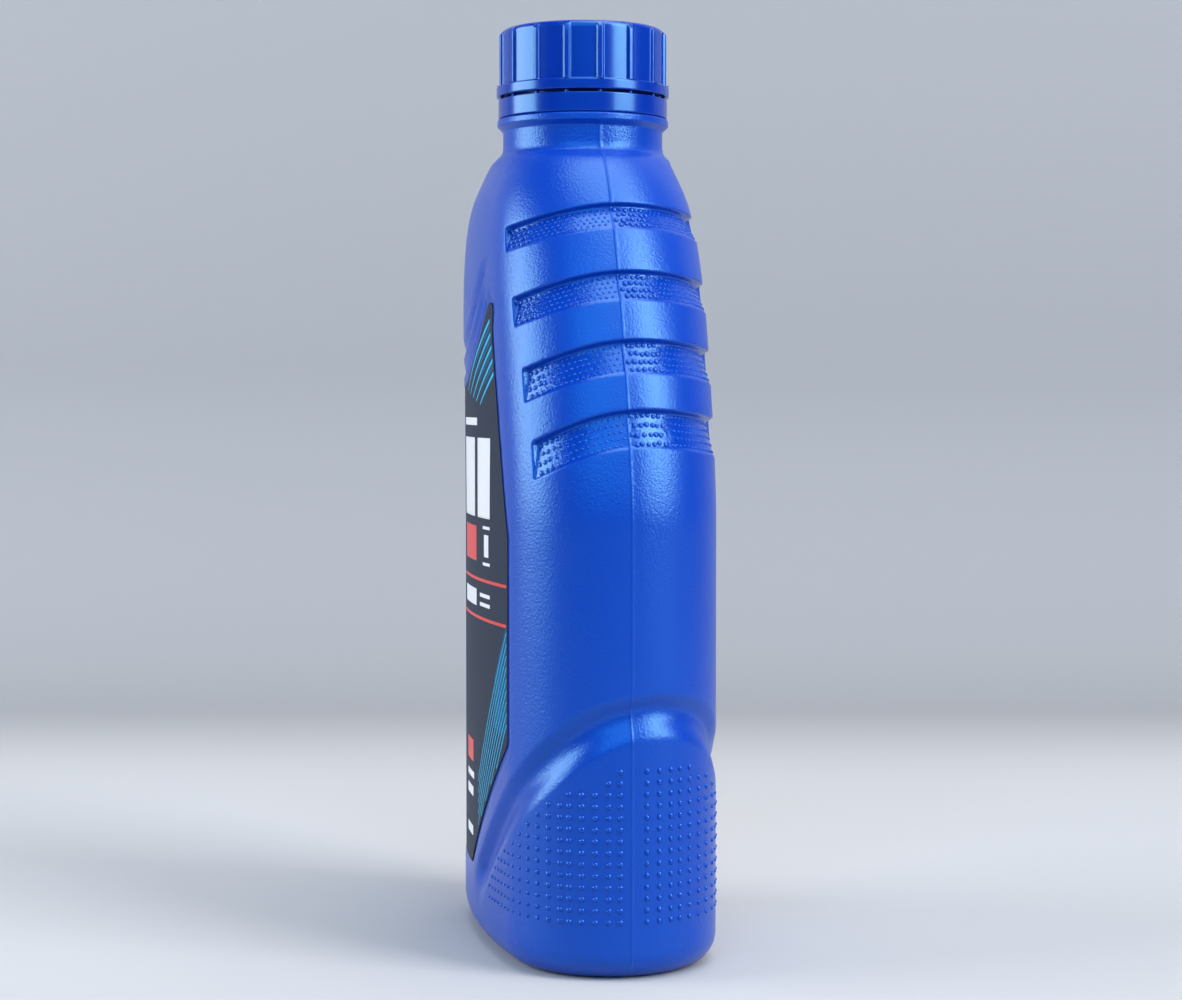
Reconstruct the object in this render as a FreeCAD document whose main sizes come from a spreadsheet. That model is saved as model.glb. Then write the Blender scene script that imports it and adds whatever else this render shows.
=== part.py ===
import FreeCAD, Part
import Sketcher
import math
import os

from FreeCAD import Vector

# One-litre motor oil bottle with a screw cap, in millimetres.
# +Z is up and the origin is on the table under the neck's axis.
# +X is the grip side with the long sloping shoulder, -X the upright side.
# -Y is the front with the large label, +Y the back.

SIZES = {
    # Blow-moulded body
    "grip_half_width": (59.0, "neck axis to the grip side"),
    "upright_half_width": (52.0, "neck axis to the upright side"),
    "half_depth": (29.4, "mid plane to the front or the back"),
    "corner_angle": (82.0, "turn of each end arc to where the flat crown begins, degrees"),
    "wall": (1.0, "blown wall"),
    "base_rounding": (7.5, "outer radius round the foot"),
    "base_recess_depth": (3.0, "push-up under the foot"),
    "base_recess_inset": (11.0, "side wall to the push-up"),
    "base_recess_draft": (4.0, "how much smaller the push-up is at its top"),
    "grip_shoulder_start": (111.0, "height where the grip side starts to slope"),
    "grip_shoulder_lower_pull": (22.7, "lower handle of the grip shoulder curve"),
    "grip_shoulder_upper_reach": (17.1, "upper handle, outwards"),
    "grip_shoulder_upper_drop": (6.0, "upper handle, downwards"),
    "upright_shoulder_start": (172.0, "height where the upright side starts to turn in"),
    "upright_shoulder_lower_pull": (28.8, "lower handle of the upright shoulder curve"),
    "upright_shoulder_upper_reach": (22.8, "upper handle, outwards"),
    "upright_shoulder_upper_drop": (0.9, "upper handle, downwards"),
    "face_shoulder_start": (158.0, "height where front and back start to turn in"),
    "face_shoulder_lower_pull": (42.8, "lower handle of the face shoulder curve"),
    "face_shoulder_upper_reach": (3.7, "upper handle, outwards"),
    "face_shoulder_upper_drop": (10.9, "upper handle, downwards"),
    # Neck
    "neck_base": (206.4, "height of the shoulder's top"),
    "neck_radius": (21.1, "plain neck below the bead"),
    "cove_width": (1.6, "hollow between the shoulder and the neck"),
    "cove_height": (2.6, "hollow between the shoulder and the neck"),
    "neck_straight": (7.6, "plain neck height"),
    "bead_radius": (22.6, "support bead"),
    "bead_height": (2.5, "support bead"),
    "bead_chamfer": (0.7, "support bead's edges"),
    "finish_radius": (18.9, "neck finish under its thread"),
    "finish_height": (20.7, "bead to mouth"),
    "bore_radius": (16.8, "mouth"),
    "locking_bead_radius": (20.5, "bead that holds the tamper band"),
    "locking_bead_height": (1.5, "bead that holds the tamper band"),
    # Thread
    "thread_pitch": (4.2, "rise in one turn"),
    "thread_depth": (1.1, "height of each thread"),
    "thread_root": (2.0, "width of a thread at its root"),
    "thread_crest": (0.9, "width of a thread at its crest"),
    "thread_turns": (1.5, "turns of each thread"),
    "thread_top_gap": (1.6, "mouth to the end of the neck's thread"),
    "thread_sink": (0.3, "how deep a thread grows out of its wall"),
    # Grip grooves
    "groove_count": (4.0, "grip grooves"),
    "lowest_groove_top": (140.0, "upper edge of the lowest groove at the parting line"),
    "groove_pitch": (17.3, "groove to groove, upwards"),
    "groove_height": (9.3, "lowest groove"),
    "groove_narrowing": (1.0, "how much narrower each next groove is"),
    "groove_depth": (1.9, "under the groove's upper edge"),
    "groove_upper_draft": (1.3, "slope of the groove's upper wall"),
    "groove_crown_offset": (4.0, "highest point of a groove behind the parting line"),
    "groove_front_radius": (43.0, "side view arc of the lowest groove towards the front"),
    "groove_front_radius_gain": (8.7, "how much flatter each next groove is"),
    "groove_back_radius": (104.0, "side view arc of every groove towards the back"),
    "groove_front_angle": (54.0, "front end of the lowest groove, degrees from the side"),
    "groove_angle_gain": (4.2, "how much further each next groove reaches, degrees"),
    "groove_back_angle": (80.0, "back end of every groove, degrees from the side"),
    # Arched channel
    "arch_top": (67.0, "highest point of the channel's floor"),
    "arch_offset": (7.0, "the arch's middle behind the parting line"),
    "arch_radius": (39.0, "arc over the grip side, on the unrolled wall"),
    "arch_leg_angle": (38.7, "fall of each straight leg, degrees"),
    "arch_leg_length": (72.0, "each straight leg"),
    "channel_depth": (2.2, "floor of the channel"),
    "channel_upper_width": (3.6, "floor to the upper edge"),
    "channel_lower_width": (6.4, "floor to the lower edge"),
    "channel_fade": (12.0, "length over which each end runs out"),
    # Labels and their panels
    "label_left": (-29.0, "front label's edge at the upright side"),
    "label_right": (36.0, "front label's edge at the grip side"),
    "label_foot": (19.0, "front label's lowest edge"),
    "label_foot_right": (-6.0, "where the slanted lower edge starts"),
    "label_lower_corner": (56.0, "height where the slanted lower edge ends"),
    "label_upper_corner": (108.0, "height where the slanted right edge starts"),
    "label_peak": (169.0, "front label's highest point"),
    "label_peak_right": (17.0, "right side of the highest point"),
    "label_left_top": (146.0, "top of the label's edge at the upright side"),
    "label_sweep": (6.0, "how far the upper edge hollows"),
    "back_label_foot": (26.0, "back label's lower edge"),
    "back_label_foot_right": (-9.0, "where its slanted lower edge starts"),
    "back_label_lower_corner": (66.0, "height where its slanted lower edge ends"),
    "back_label_top": (112.0, "back label's upper edge"),
    "label_corner": (3.0, "corner rounding of both labels"),
    "label_thickness": (0.15, "printed film"),
    "label_seat_gap": (0.1, "film to the panel's floor"),
    "panel_margin": (2.5, "panel edge round a label"),
    "panel_depth": (0.5, "panel below the wall's surface"),
    # Cap, band, liner and seal
    "cap_radius": (21.6, "cap between its ribs"),
    "cap_bore": (20.5, "inside of the skirt"),
    "cap_top_wall": (1.6, "cap's top"),
    "cap_top_rounding": (1.5, "cap's upper edge"),
    "flange_radius": (22.8, "cap's lower flange"),
    "flange_height": (2.7, "cap's lower flange"),
    "rib_count": (16.0, "grip ribs"),
    "rib_width": (2.3, "rib at its foot"),
    "rib_crest": (1.1, "rib at its crest"),
    "rib_height": (0.7, "how far a rib stands out"),
    "band_radius": (22.3, "tamper band"),
    "band_bore": (21.1, "tamper band"),
    "band_height": (5.0, "tamper band"),
    "band_lip_bore": (19.5, "inward lip under the locking bead"),
    "band_lip_height": (1.1, "inward lip under the locking bead"),
    "band_seat_gap": (0.1, "bead to tamper band"),
    "band_lock_gap": (0.4, "lip to locking bead"),
    "bridge_count": (16.0, "bridges from the band to the cap"),
    "bridge_width": (0.9, "each bridge"),
    "bridge_inset": (0.2, "band's faces to the bridges"),
    "bridge_root": (0.5, "how deep a bridge grows out of the band"),
    "bridge_gap": (0.75, "slit between the band and the cap"),
    "liner_thickness": (1.0, "sealing wad"),
    "liner_side_gap": (0.3, "wad to the skirt"),
    "foil_thickness": (0.15, "foil seal"),
    "foil_gap": (0.05, "foil seal to the wad"),
    # Contents
    "oil_level": (188.0, "height of the oil in the full bottle"),
}

doc = FreeCAD.newDocument("motor_oil_bottle")
sheet = doc.addObject("Spreadsheet::Sheet", "Sizes")
for row, (name, (value, note)) in enumerate(SIZES.items(), start=1):
    sheet.set("A%d" % row, name)
    sheet.set("B%d" % row, str(value))
    sheet.set("C%d" % row, note)
    sheet.setAlias("B%d" % row, name)
doc.recompute()


def size(name):
    """Value of a cell of the sheet."""
    return float(getattr(sheet, name))


# Heights that stack up from the neck's base
BEAD_FOOT = size("neck_base") + size("neck_straight")
BEAD_TOP = BEAD_FOOT + size("bead_height")
MOUTH = BEAD_TOP + size("finish_height")
BAND_FOOT = BEAD_TOP + size("band_seat_gap")
SCREW_PITCH = size("thread_pitch")
FOOT_STATIONS = 7
COVE_STEPS = 6
STRAIGHT_STATIONS = 6
SHOULDER_STATIONS = 14
GROOVE_STATIONS = 16
CHANNEL_STATIONS = 28
# How far cutters stand outside the wall, and how far their edges lie over it
OUTSIDE = 1.5
EDGE_LIFT = 0.3
RIM_LIFT = 0.25
END_LIFT = 0.1


def add_feature(name, shape):
    """A document object that holds a shape worked out from the sheet."""
    obj = doc.addObject("Part::Feature", name)
    obj.Shape = shape
    obj.Placement = shape.Placement
    return obj


def add_boolean(kind, name, base, tool, label=None):
    """A cut, fuse or common of two document objects."""
    obj = doc.addObject("Part::" + kind, name)
    obj.Base = base
    obj.Tool = tool
    if label:
        obj.Label = label
    doc.recompute()
    return obj


# The body's outline: three shoulder curves, and ovals of four tangent arcs between them

def shoulder_curve(widest, side):
    """Cubic curve from the upright wall, up and inwards to the neck's base."""
    start = size(side + "_shoulder_start")
    curve = Part.BezierCurve()
    curve.setPoles([
        Vector(widest, 0, start),
        Vector(widest, 0, start + size(side + "_shoulder_lower_pull")),
        Vector(size("neck_radius") + size(side + "_shoulder_upper_reach"), 0,
               size("neck_base") - size(side + "_shoulder_upper_drop")),
        Vector(size("neck_radius") + size("cove_width"), 0, size("neck_base")),
    ])
    return curve


SHOULDERS = {
    "grip": shoulder_curve(size("grip_half_width"), "grip"),
    "upright": shoulder_curve(size("upright_half_width"), "upright"),
    "face": shoulder_curve(size("half_depth"), "face"),
}


def reach(side, height):
    """Distance from the neck's axis to the wall on one side, at a height."""
    curve = SHOULDERS[side]
    low, high = 0.0, 1.0
    if height <= curve.value(low).z:
        return curve.value(low).x
    if height >= curve.value(high).z:
        return curve.value(high).x
    for _ in range(40):
        middle = (low + high) / 2
        if curve.value(middle).z < height:
            low = middle
        else:
            high = middle
    return curve.value(low).x


class Oval:
    """Horizontal section of the body: two end arcs and two flat crowns, all tangent."""

    def __init__(self, height, inset=0.0, drop=0.0):
        """Section at a height, moved inwards by inset; drop lowers the shoulder it is read from."""
        self.height = height
        grip = reach("grip", height + drop)
        upright = reach("upright", height + drop)
        face = reach("face", height + drop)
        self.centre = (grip - upright) / 2
        half_width = (grip + upright) / 2
        self.turn = math.radians(size("corner_angle"))
        spread = (half_width - face) / (math.sin(self.turn) + math.cos(self.turn) - 1)
        self.end_radius = half_width - spread * math.cos(self.turn) - inset
        self.crown_radius = self.end_radius + spread
        self.end_offset = spread * math.cos(self.turn)
        self.crown_offset = spread * math.sin(self.turn)

    def at_angle(self, angle):
        """Point and outward direction on the grip side's end arc."""
        outward = Vector(math.cos(angle), math.sin(angle), 0)
        middle = Vector(self.centre + self.end_offset, 0, self.height)
        return middle + outward * self.end_radius, outward

    def on_line(self, point, outward):
        """Point of the grip side's end arc on a level line through a point."""
        middle = Vector(self.centre + self.end_offset, 0, self.height)
        start = Vector(point.x, point.y, self.height) - middle
        along = start.dot(outward)
        across = start - outward * along
        return middle + across + outward * math.sqrt(self.end_radius ** 2 - across.Length ** 2)

    def at_length(self, length):
        """Point and outward direction at a length round the wall from the grip side."""
        end_length = self.end_radius * self.turn
        if abs(length) <= end_length:
            return self.at_angle(length / self.end_radius)
        side = math.copysign(1.0, length)
        angle = self.turn + (abs(length) - end_length) / self.crown_radius
        outward = Vector(math.cos(angle), side * math.sin(angle), 0)
        middle = Vector(self.centre, -side * self.crown_offset, self.height)
        return middle + outward * self.crown_radius, outward

    def arc(self, middle_x, middle_y, radius, start, end):
        """One arc of the section."""
        points = []
        for angle in (start, (start + end) / 2, end):
            points.append(Vector(middle_x + radius * math.cos(angle),
                                 middle_y + radius * math.sin(angle), self.height))
        return Part.Arc(*points).toShape()

    def wire(self):
        """Closed outline of the section."""
        turn = self.turn
        return Part.Wire([
            self.arc(self.centre + self.end_offset, 0, self.end_radius, -turn, turn),
            self.arc(self.centre, -self.crown_offset, self.crown_radius, turn, math.pi - turn),
            self.arc(self.centre - self.end_offset, 0, self.end_radius,
                     math.pi - turn, math.pi + turn),
            self.arc(self.centre, self.crown_offset, self.crown_radius,
                     math.pi + turn, 2 * math.pi - turn),
        ])


def lofted(wires, ruled=False):
    """Solid through closed wires, with its faces outwards."""
    solid = Part.makeLoft(wires, True, ruled)
    if solid.Volume < 0:
        solid.reverse()
    return solid


def body_form(inset, foot, drop):
    """Solid of the body from a foot height to the neck's base, inset and lowered.

    The foot is rounded by a quarter circle, the wall is upright up to where the grip shoulder
    starts, and the stations crowd together towards the flat top of the upright shoulder.
    """
    rounding = size("base_rounding") - inset
    start = size("grip_shoulder_start")
    rise = size("neck_base") - start
    wires = []
    for step in range(FOOT_STATIONS):
        turn = math.pi / 2 * step / FOOT_STATIONS
        height = foot + rounding * (1 - math.cos(turn))
        wires.append(Oval(height, inset + rounding * (1 - math.sin(turn))).wire())
    for step in range(STRAIGHT_STATIONS):
        height = foot + rounding + (start - foot - rounding) * step / STRAIGHT_STATIONS
        wires.append(Oval(height, inset).wire())
    for step in range(SHOULDER_STATIONS + 1):
        height = start + rise * math.sin(math.pi / 2 * step / SHOULDER_STATIONS) - drop
        wires.append(Oval(height, inset, drop).wire())
    return lofted(wires)


def push_up(extra):
    """Tapered recess under the foot, made larger by extra."""
    low_inset = size("base_recess_inset") - extra
    high_inset = low_inset + size("base_recess_draft")
    top = size("base_recess_depth") + extra
    low = Oval(0, low_inset).wire()
    high = Oval(0, high_inset).wire()
    low.translate(Vector(0, 0, -OUTSIDE))
    high.translate(Vector(0, 0, top))
    return lofted([low, high], True)


def turned(outline):
    """Solid turned round the Z axis from (radius, height) points."""
    points = [Vector(radius, 0, height) for radius, height in outline]
    face = Part.Face(Part.makePolygon(points + points[:1]))
    return face.revolve(Vector(0, 0, 0), Vector(0, 0, 1), 360)


def cove(radius, foot):
    """Hollow quarter of an ellipse, as (radius, height) points, from a foot up to the neck."""
    points = []
    for step in range(COVE_STEPS + 1):
        turn = math.pi / 2 * step / COVE_STEPS
        points.append((radius + size("cove_width") * (1 - math.sin(turn)),
                       foot + size("cove_height") * (1 - math.cos(turn))))
    return points


def helical_thread(root_radius, crest_radius, foot):
    """Single-start thread from a root radius to a crest radius, standing on a foot height."""
    turns = size("thread_turns")
    sink = math.copysign(size("thread_sink"), crest_radius - root_radius)
    helix = Part.makeHelix(SCREW_PITCH, SCREW_PITCH * turns, root_radius)
    root_half = size("thread_root") / 2
    crest_half = size("thread_crest") / 2
    profile = Part.makePolygon([
        Vector(root_radius - sink, 0, -root_half),
        Vector(crest_radius, 0, -crest_half),
        Vector(crest_radius, 0, crest_half),
        Vector(root_radius - sink, 0, root_half),
        Vector(root_radius - sink, 0, -root_half),
    ])
    thread = Part.Wire(helix.Edges).makePipeShell([profile], True, True)
    thread.translate(Vector(0, 0, foot + root_half))
    if thread.Volume < 0:
        thread.reverse()
    return thread


# Outer form of the bottle: body, neck and neck thread

bottle_form = add_feature("bottle_form", body_form(0.0, 0.0, 0.0))

bead_chamfer = size("bead_chamfer")
locking_foot = BAND_FOOT + size("band_lip_height") + size("band_lock_gap")
neck_outline = [(0.0, size("neck_base"))] + cove(size("neck_radius"), size("neck_base")) + [
    (size("neck_radius"), BEAD_FOOT - bead_chamfer),
    (size("bead_radius"), BEAD_FOOT + bead_chamfer),
    (size("bead_radius"), BEAD_TOP - bead_chamfer),
    (size("bead_radius") - bead_chamfer, BEAD_TOP),
    (size("finish_radius"), BEAD_TOP),
    (size("finish_radius"), locking_foot),
    (size("locking_bead_radius"), locking_foot),
    (size("finish_radius"), locking_foot + size("locking_bead_height")),
    (size("finish_radius"), MOUTH),
    (0.0, MOUTH),
]
neck_form = add_feature("neck_form", turned(neck_outline))
neck_thread_foot = (MOUTH - size("thread_top_gap") - size("thread_root")
                    - SCREW_PITCH * size("thread_turns"))
neck_crest = size("finish_radius") + size("thread_depth")
neck_thread = add_feature("neck_thread", helical_thread(size("finish_radius"), neck_crest,
                                                        neck_thread_foot))
threaded_neck = add_boolean("Fuse", "threaded_neck", neck_form, neck_thread)
outer_form = add_boolean("Fuse", "outer_form", bottle_form, threaded_neck)


# Relief in the wall. Each cutter has a backing of the same section, grown by the wall, which
# keeps the hollow away, so that the blown wall follows the relief.

def closed_wire(points):
    """Closed polygon."""
    return Part.makePolygon(points + points[:1])


def groove_section(angle, top, height, grow):
    """Section of a grip groove: steep upper wall, floor that rises to the lower edge."""
    upper = top + grow
    floor_height = top - size("groove_upper_draft") + grow / 2
    lower = top - height - grow
    upper_point, outward = Oval(upper + EDGE_LIFT).at_angle(angle)
    floor_point = Oval(floor_height).on_line(upper_point, outward)
    lower_point = Oval(lower - EDGE_LIFT).on_line(upper_point, outward)
    return closed_wire([
        upper_point + outward * OUTSIDE,
        upper_point + outward * (EDGE_LIFT - grow),
        floor_point - outward * (size("groove_depth") + grow),
        lower_point + outward * (EDGE_LIFT - grow),
        lower_point + outward * OUTSIDE,
    ])


def groove(number, grow):
    """One grip groove, wrapped round the grip side, sagging to the front and the back."""
    top = size("lowest_groove_top") + number * size("groove_pitch")
    height = size("groove_height") - number * size("groove_narrowing")
    front_radius = size("groove_front_radius") + number * size("groove_front_radius_gain")
    front = -math.radians(size("groove_front_angle") + number * size("groove_angle_gain"))
    back = math.radians(size("groove_back_angle"))
    reach_more = grow / Oval(top).end_radius
    wires = []
    for step in range(GROOVE_STATIONS + 1):
        share = step / GROOVE_STATIONS
        angle = front - reach_more + (back - front + 2 * reach_more) * share
        sideways = Oval(top).end_radius * math.sin(angle) - size("groove_crown_offset")
        radius = front_radius if sideways < 0 else size("groove_back_radius")
        sag = sideways ** 2 / (2 * radius)
        wires.append(groove_section(angle, top - sag, height, grow))
    return lofted(wires)


def arch_point(length):
    """Place round the wall and height of the channel's floor at a length from the arch's top."""
    fall = math.radians(size("arch_leg_angle"))
    arc_length = size("arch_radius") * fall
    bend = max(-arc_length, min(arc_length, length)) / size("arch_radius")
    leg = max(0.0, abs(length) - arc_length)
    round_wall = (size("arch_offset") + size("arch_radius") * math.sin(bend)
                  + math.copysign(leg * math.cos(fall), length))
    height = (size("arch_top") - size("arch_radius") * (1 - math.cos(bend))
              - leg * math.sin(fall))
    return round_wall, height


def channel_half_length():
    """Length of the channel from the arch's top to each end."""
    return size("arch_leg_length") + size("arch_radius") * math.radians(size("arch_leg_angle"))


def channel_section(length, grow):
    """Section across the channel: an arc from its upper edge over its floor to its lower edge."""
    small = 0.5
    left = (channel_half_length() - abs(length)) / size("channel_fade")
    share = max(0.0, min(1.0, left))
    fade = share * share * (3 - 2 * share)
    round_wall, height = arch_point(length)
    before, height_before = arch_point(length - small)
    after, height_after = arch_point(length + small)
    point, outward = Oval(height).at_length(round_wall)
    point_before, _ = Oval(height_before).at_length(before)
    point_after, _ = Oval(height_after).at_length(after)
    along = (point_after - point_before).normalize()
    upward = outward.cross(along)
    if upward.z < 0:
        upward = upward * -1
    upper = point + upward * (size("channel_upper_width") + grow)
    lower = point - upward * (size("channel_lower_width") + grow)
    rim = RIM_LIFT - grow
    depth = (size("channel_depth") + END_LIFT) * fade - END_LIFT
    floor = point - outward * (depth + grow)
    arc = Part.Arc(upper + outward * rim, floor, lower + outward * rim).toShape()
    lid = Part.makePolygon([
        lower + outward * rim,
        lower + outward * OUTSIDE,
        upper + outward * OUTSIDE,
        upper + outward * rim,
    ])
    return Part.Wire([arc] + lid.Edges)


def channel(grow):
    """Channel that arches over the dotted foot of the grip side."""
    half_length = channel_half_length()
    wires = []
    for step in range(CHANNEL_STATIONS + 1):
        share = 2 * step / CHANNEL_STATIONS - 1
        wires.append(channel_section(half_length * share, grow))
    return lofted(wires)


def front_label_outline():
    """Front label in the XZ plane: slanted foot, slanted side, hollow sweep along the top."""
    left, right = size("label_left"), size("label_right")
    corners = [
        Vector(left, 0, size("label_foot")),
        Vector(size("label_foot_right"), 0, size("label_foot")),
        Vector(right, 0, size("label_lower_corner")),
        Vector(right, 0, size("label_upper_corner")),
        Vector(size("label_peak_right"), 0, size("label_peak")),
    ]
    top_left = Vector(left, 0, size("label_left_top"))
    sweep_middle = (corners[-1] + top_left) / 2 - Vector(0, 0, size("label_sweep"))
    edges = Part.makePolygon(corners).Edges
    edges.append(Part.Arc(corners[-1], sweep_middle, top_left).toShape())
    edges.append(Part.makeLine(top_left, corners[0]))
    return Part.Wire(edges)


def back_label_outline():
    """Back label in the XZ plane, slanted along the channel."""
    left, right = size("label_left"), size("label_right")
    foot, top = size("back_label_foot"), size("back_label_top")
    return closed_wire([Vector(left, 0, foot), Vector(size("back_label_foot_right"), 0, foot),
                        Vector(right, 0, size("back_label_lower_corner")),
                        Vector(right, 0, top), Vector(left, 0, top)])


def grown_outline(wire, margin):
    """Outline moved outwards by a margin, with its corners rounded."""
    corner = size("label_corner")
    inner = wire.makeOffset2D(-corner, 0, False, False)
    return inner.makeOffset2D(corner + margin, 0, False, False)


def face_prism(wire, margin, side):
    """Solid behind an outline, from the mid plane out past one face of the bottle."""
    face = Part.Face(grown_outline(wire, margin))
    return face.extrude(Vector(0, side * (size("half_depth") + OUTSIDE), 0))


FRONT, BACK = -1, 1
film_inset = size("panel_depth") - size("label_seat_gap")
panel_floor = body_form(size("panel_depth"), 0.0, 0.0)
film_floor = body_form(film_inset, 0.0, 0.0)
film_face = body_form(film_inset - size("label_thickness"), 0.0, 0.0)
backing_floor = body_form(size("panel_depth") + size("wall"), 0.0, 0.0)

relief_parts = []
backing_parts = []
for number in range(int(size("groove_count"))):
    relief_parts.append(groove(number, 0.0))
    backing_parts.append(groove(number, size("wall")))
relief_parts.append(channel(0.0))
backing_parts.append(channel(size("wall")))
for wire, side in ((front_label_outline(), FRONT), (back_label_outline(), BACK)):
    relief_parts.append(face_prism(wire, size("panel_margin"), side).cut(panel_floor))
    backing_parts.append(face_prism(wire, size("panel_margin"), side).cut(backing_floor))
relief_parts.append(push_up(0.0))
backing_parts.append(push_up(size("wall")))

relief = add_feature("relief", relief_parts[0].fuse(relief_parts[1:]))
backing = add_feature("backing", backing_parts[0].fuse(backing_parts[1:]))

# Hollow of the bottle: the body moved in by the wall, and the neck's bore

hollow_body = body_form(size("wall"), size("wall"), size("wall"))
neck_inner = size("neck_radius") - size("wall")
hollow_top = size("neck_base") - size("wall")
bore_outline = [(0.0, hollow_top)] + cove(neck_inner, hollow_top) + [
    (size("bore_radius"), BEAD_FOOT),
    (size("bore_radius"), MOUTH + OUTSIDE),
    (0.0, MOUTH + OUTSIDE),
]
hollow_form = add_feature("hollow_form", hollow_body.fuse(turned(bore_outline)))
hollow = add_boolean("Cut", "hollow", hollow_form, backing)
relieved_form = add_boolean("Cut", "relieved_form", outer_form, relief)
bottle = add_boolean("Cut", "bottle_solid", relieved_form, hollow, label="bottle")

# Oil up to its level in the hollow

fill_box = doc.addObject("Part::Box", "fill_box")
fill_box.setExpression("Length", "2 * Sizes.grip_half_width")
fill_box.setExpression("Width", "2 * Sizes.half_depth")
fill_box.setExpression("Height", "Sizes.oil_level")
fill_box.setExpression("Placement.Base.x", "-Sizes.grip_half_width")
fill_box.setExpression("Placement.Base.y", "-Sizes.half_depth")
oil = add_boolean("Common", "oil_solid", hollow, fill_box, label="oil_fill")

# Labels, bent to the panels

def bent_label(name, outline, side):
    """Film in a panel, just clear of its floor."""
    film = face_prism(outline, 0.0, side).common(film_face).cut(film_floor)
    return add_feature(name, film)


front_label = bent_label("front_label", front_label_outline(), FRONT)
back_label = bent_label("back_label", back_label_outline(), BACK)


# Turned and moulded pieces of the closure, as bodies with bound sketches

MOUTH_EXPRESSION = ("(Sizes.neck_base + Sizes.neck_straight + Sizes.bead_height"
                    " + Sizes.finish_height)")
BAND_FOOT_EXPRESSION = ("(Sizes.neck_base + Sizes.neck_straight + Sizes.bead_height"
                        " + Sizes.band_seat_gap)")
CAP_FOOT_EXPRESSION = "(%s + Sizes.band_height + Sizes.bridge_gap)" % BAND_FOOT_EXPRESSION
CEILING_EXPRESSION = ("(%s + Sizes.foil_thickness + Sizes.foil_gap + Sizes.liner_thickness)"
                      % MOUTH_EXPRESSION)
CAP_HEIGHT_EXPRESSION = "(%s + Sizes.cap_top_wall - %s)" % (CEILING_EXPRESSION,
                                                           CAP_FOOT_EXPRESSION)


def origin_plane(body, role):
    """Origin plane of a body, by its role."""
    return [item for item in body.Origin.OriginFeatures if item.Role == role][0]


def polygon_sketch(body, name, role, corners):
    """Sketch of straight lines whose corners are bound to expressions."""
    sketch = body.newObject("Sketcher::SketchObject", name)
    sketch.AttachmentSupport = [(origin_plane(body, role), "")]
    sketch.MapMode = "FlatFace"
    values = [(float(sheet_value(across)), float(sheet_value(up))) for across, up in corners]
    for index, (across, up) in enumerate(values):
        next_across, next_up = values[(index + 1) % len(values)]
        sketch.addGeometry(Part.LineSegment(Vector(across, up, 0),
                                            Vector(next_across, next_up, 0)), False)
    for index in range(len(corners)):
        sketch.addConstraint(Sketcher.Constraint("Coincident", index, 2,
                                                 (index + 1) % len(corners), 1))
    for index, (across, up) in enumerate(corners):
        for kind, value, expression in (("DistanceX", values[index][0], across),
                                        ("DistanceY", values[index][1], up)):
            number = sketch.addConstraint(Sketcher.Constraint(kind, -1, 1, index, 1, value))
            sketch.setExpression("Constraints[%d]" % number, expression)
    doc.recompute()
    return sketch


def sheet_value(expression):
    """Value of an expression on the sheet."""
    return sheet.evalExpression(expression)


def turned_body(name, label, corners, foot_expression):
    """Body turned round Z from bound (radius, height) corners, standing on a height."""
    body = doc.addObject("PartDesign::Body", name)
    body.Label = label
    sketch = polygon_sketch(body, name + "_section", "XZ_Plane", corners)
    revolution = body.newObject("PartDesign::Revolution", name + "_turned")
    revolution.Profile = sketch
    revolution.ReferenceAxis = (sketch, ["V_Axis"])
    revolution.Angle = 360
    body.setExpression("Placement.Base.z", foot_expression)
    doc.recompute()
    return body


def pattern_round(body, feature, name, count_expression):
    """Repeat a feature evenly round the body's Z axis."""
    pattern = body.newObject("PartDesign::PolarPattern", name)
    pattern.Originals = [feature]
    pattern.Axis = (origin_plane(body, "Z_Axis"), [""])
    pattern.Angle = 360
    pattern.setExpression("Occurrences", count_expression)
    body.Tip = pattern
    doc.recompute()
    return pattern


def post(body, name, steps, foot, height):
    """Upright post on the +X side, from (radius, width) steps outwards."""
    corners = [(radius, "0 - (%s) / 2" % width) for radius, width in steps]
    corners += [(radius, "(%s) / 2" % width) for radius, width in reversed(steps)]
    sketch = polygon_sketch(body, name + "_section", "XY_Plane", corners)
    sketch.setExpression("AttachmentOffset.Base.z", foot)
    pad = body.newObject("PartDesign::Pad", name)
    pad.Profile = sketch
    pad.setExpression("Length", height)
    doc.recompute()
    return pad


def edges_of(shape, wanted):
    """Names of a shape's edges that a test accepts."""
    return ["Edge%d" % number for number, edge in enumerate(shape.Edges, start=1)
            if wanted(edge)]


# Screw cap: top, skirt, flange, sixteen ribs and an inner thread

cap_shell = turned_body("cap_shell", "cap_shell", [
    ("Sizes.cap_bore", "0"),
    ("Sizes.flange_radius", "0"),
    ("Sizes.flange_radius", "Sizes.flange_height"),
    ("Sizes.cap_radius", "Sizes.flange_height"),
    ("Sizes.cap_radius", CAP_HEIGHT_EXPRESSION),
    ("0", CAP_HEIGHT_EXPRESSION),
    ("0", "%s - Sizes.cap_top_wall" % CAP_HEIGHT_EXPRESSION),
    ("Sizes.cap_bore", "%s - Sizes.cap_top_wall" % CAP_HEIGHT_EXPRESSION),
], CAP_FOOT_EXPRESSION)
cap_height = float(sheet_value(CAP_HEIGHT_EXPRESSION))


def top_circle(edge):
    """Whether an edge is the cap's upper outer circle."""
    box = edge.BoundBox
    return box.ZMin > cap_height - 0.01 and box.XMax > size("cap_radius") - 0.01


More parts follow.
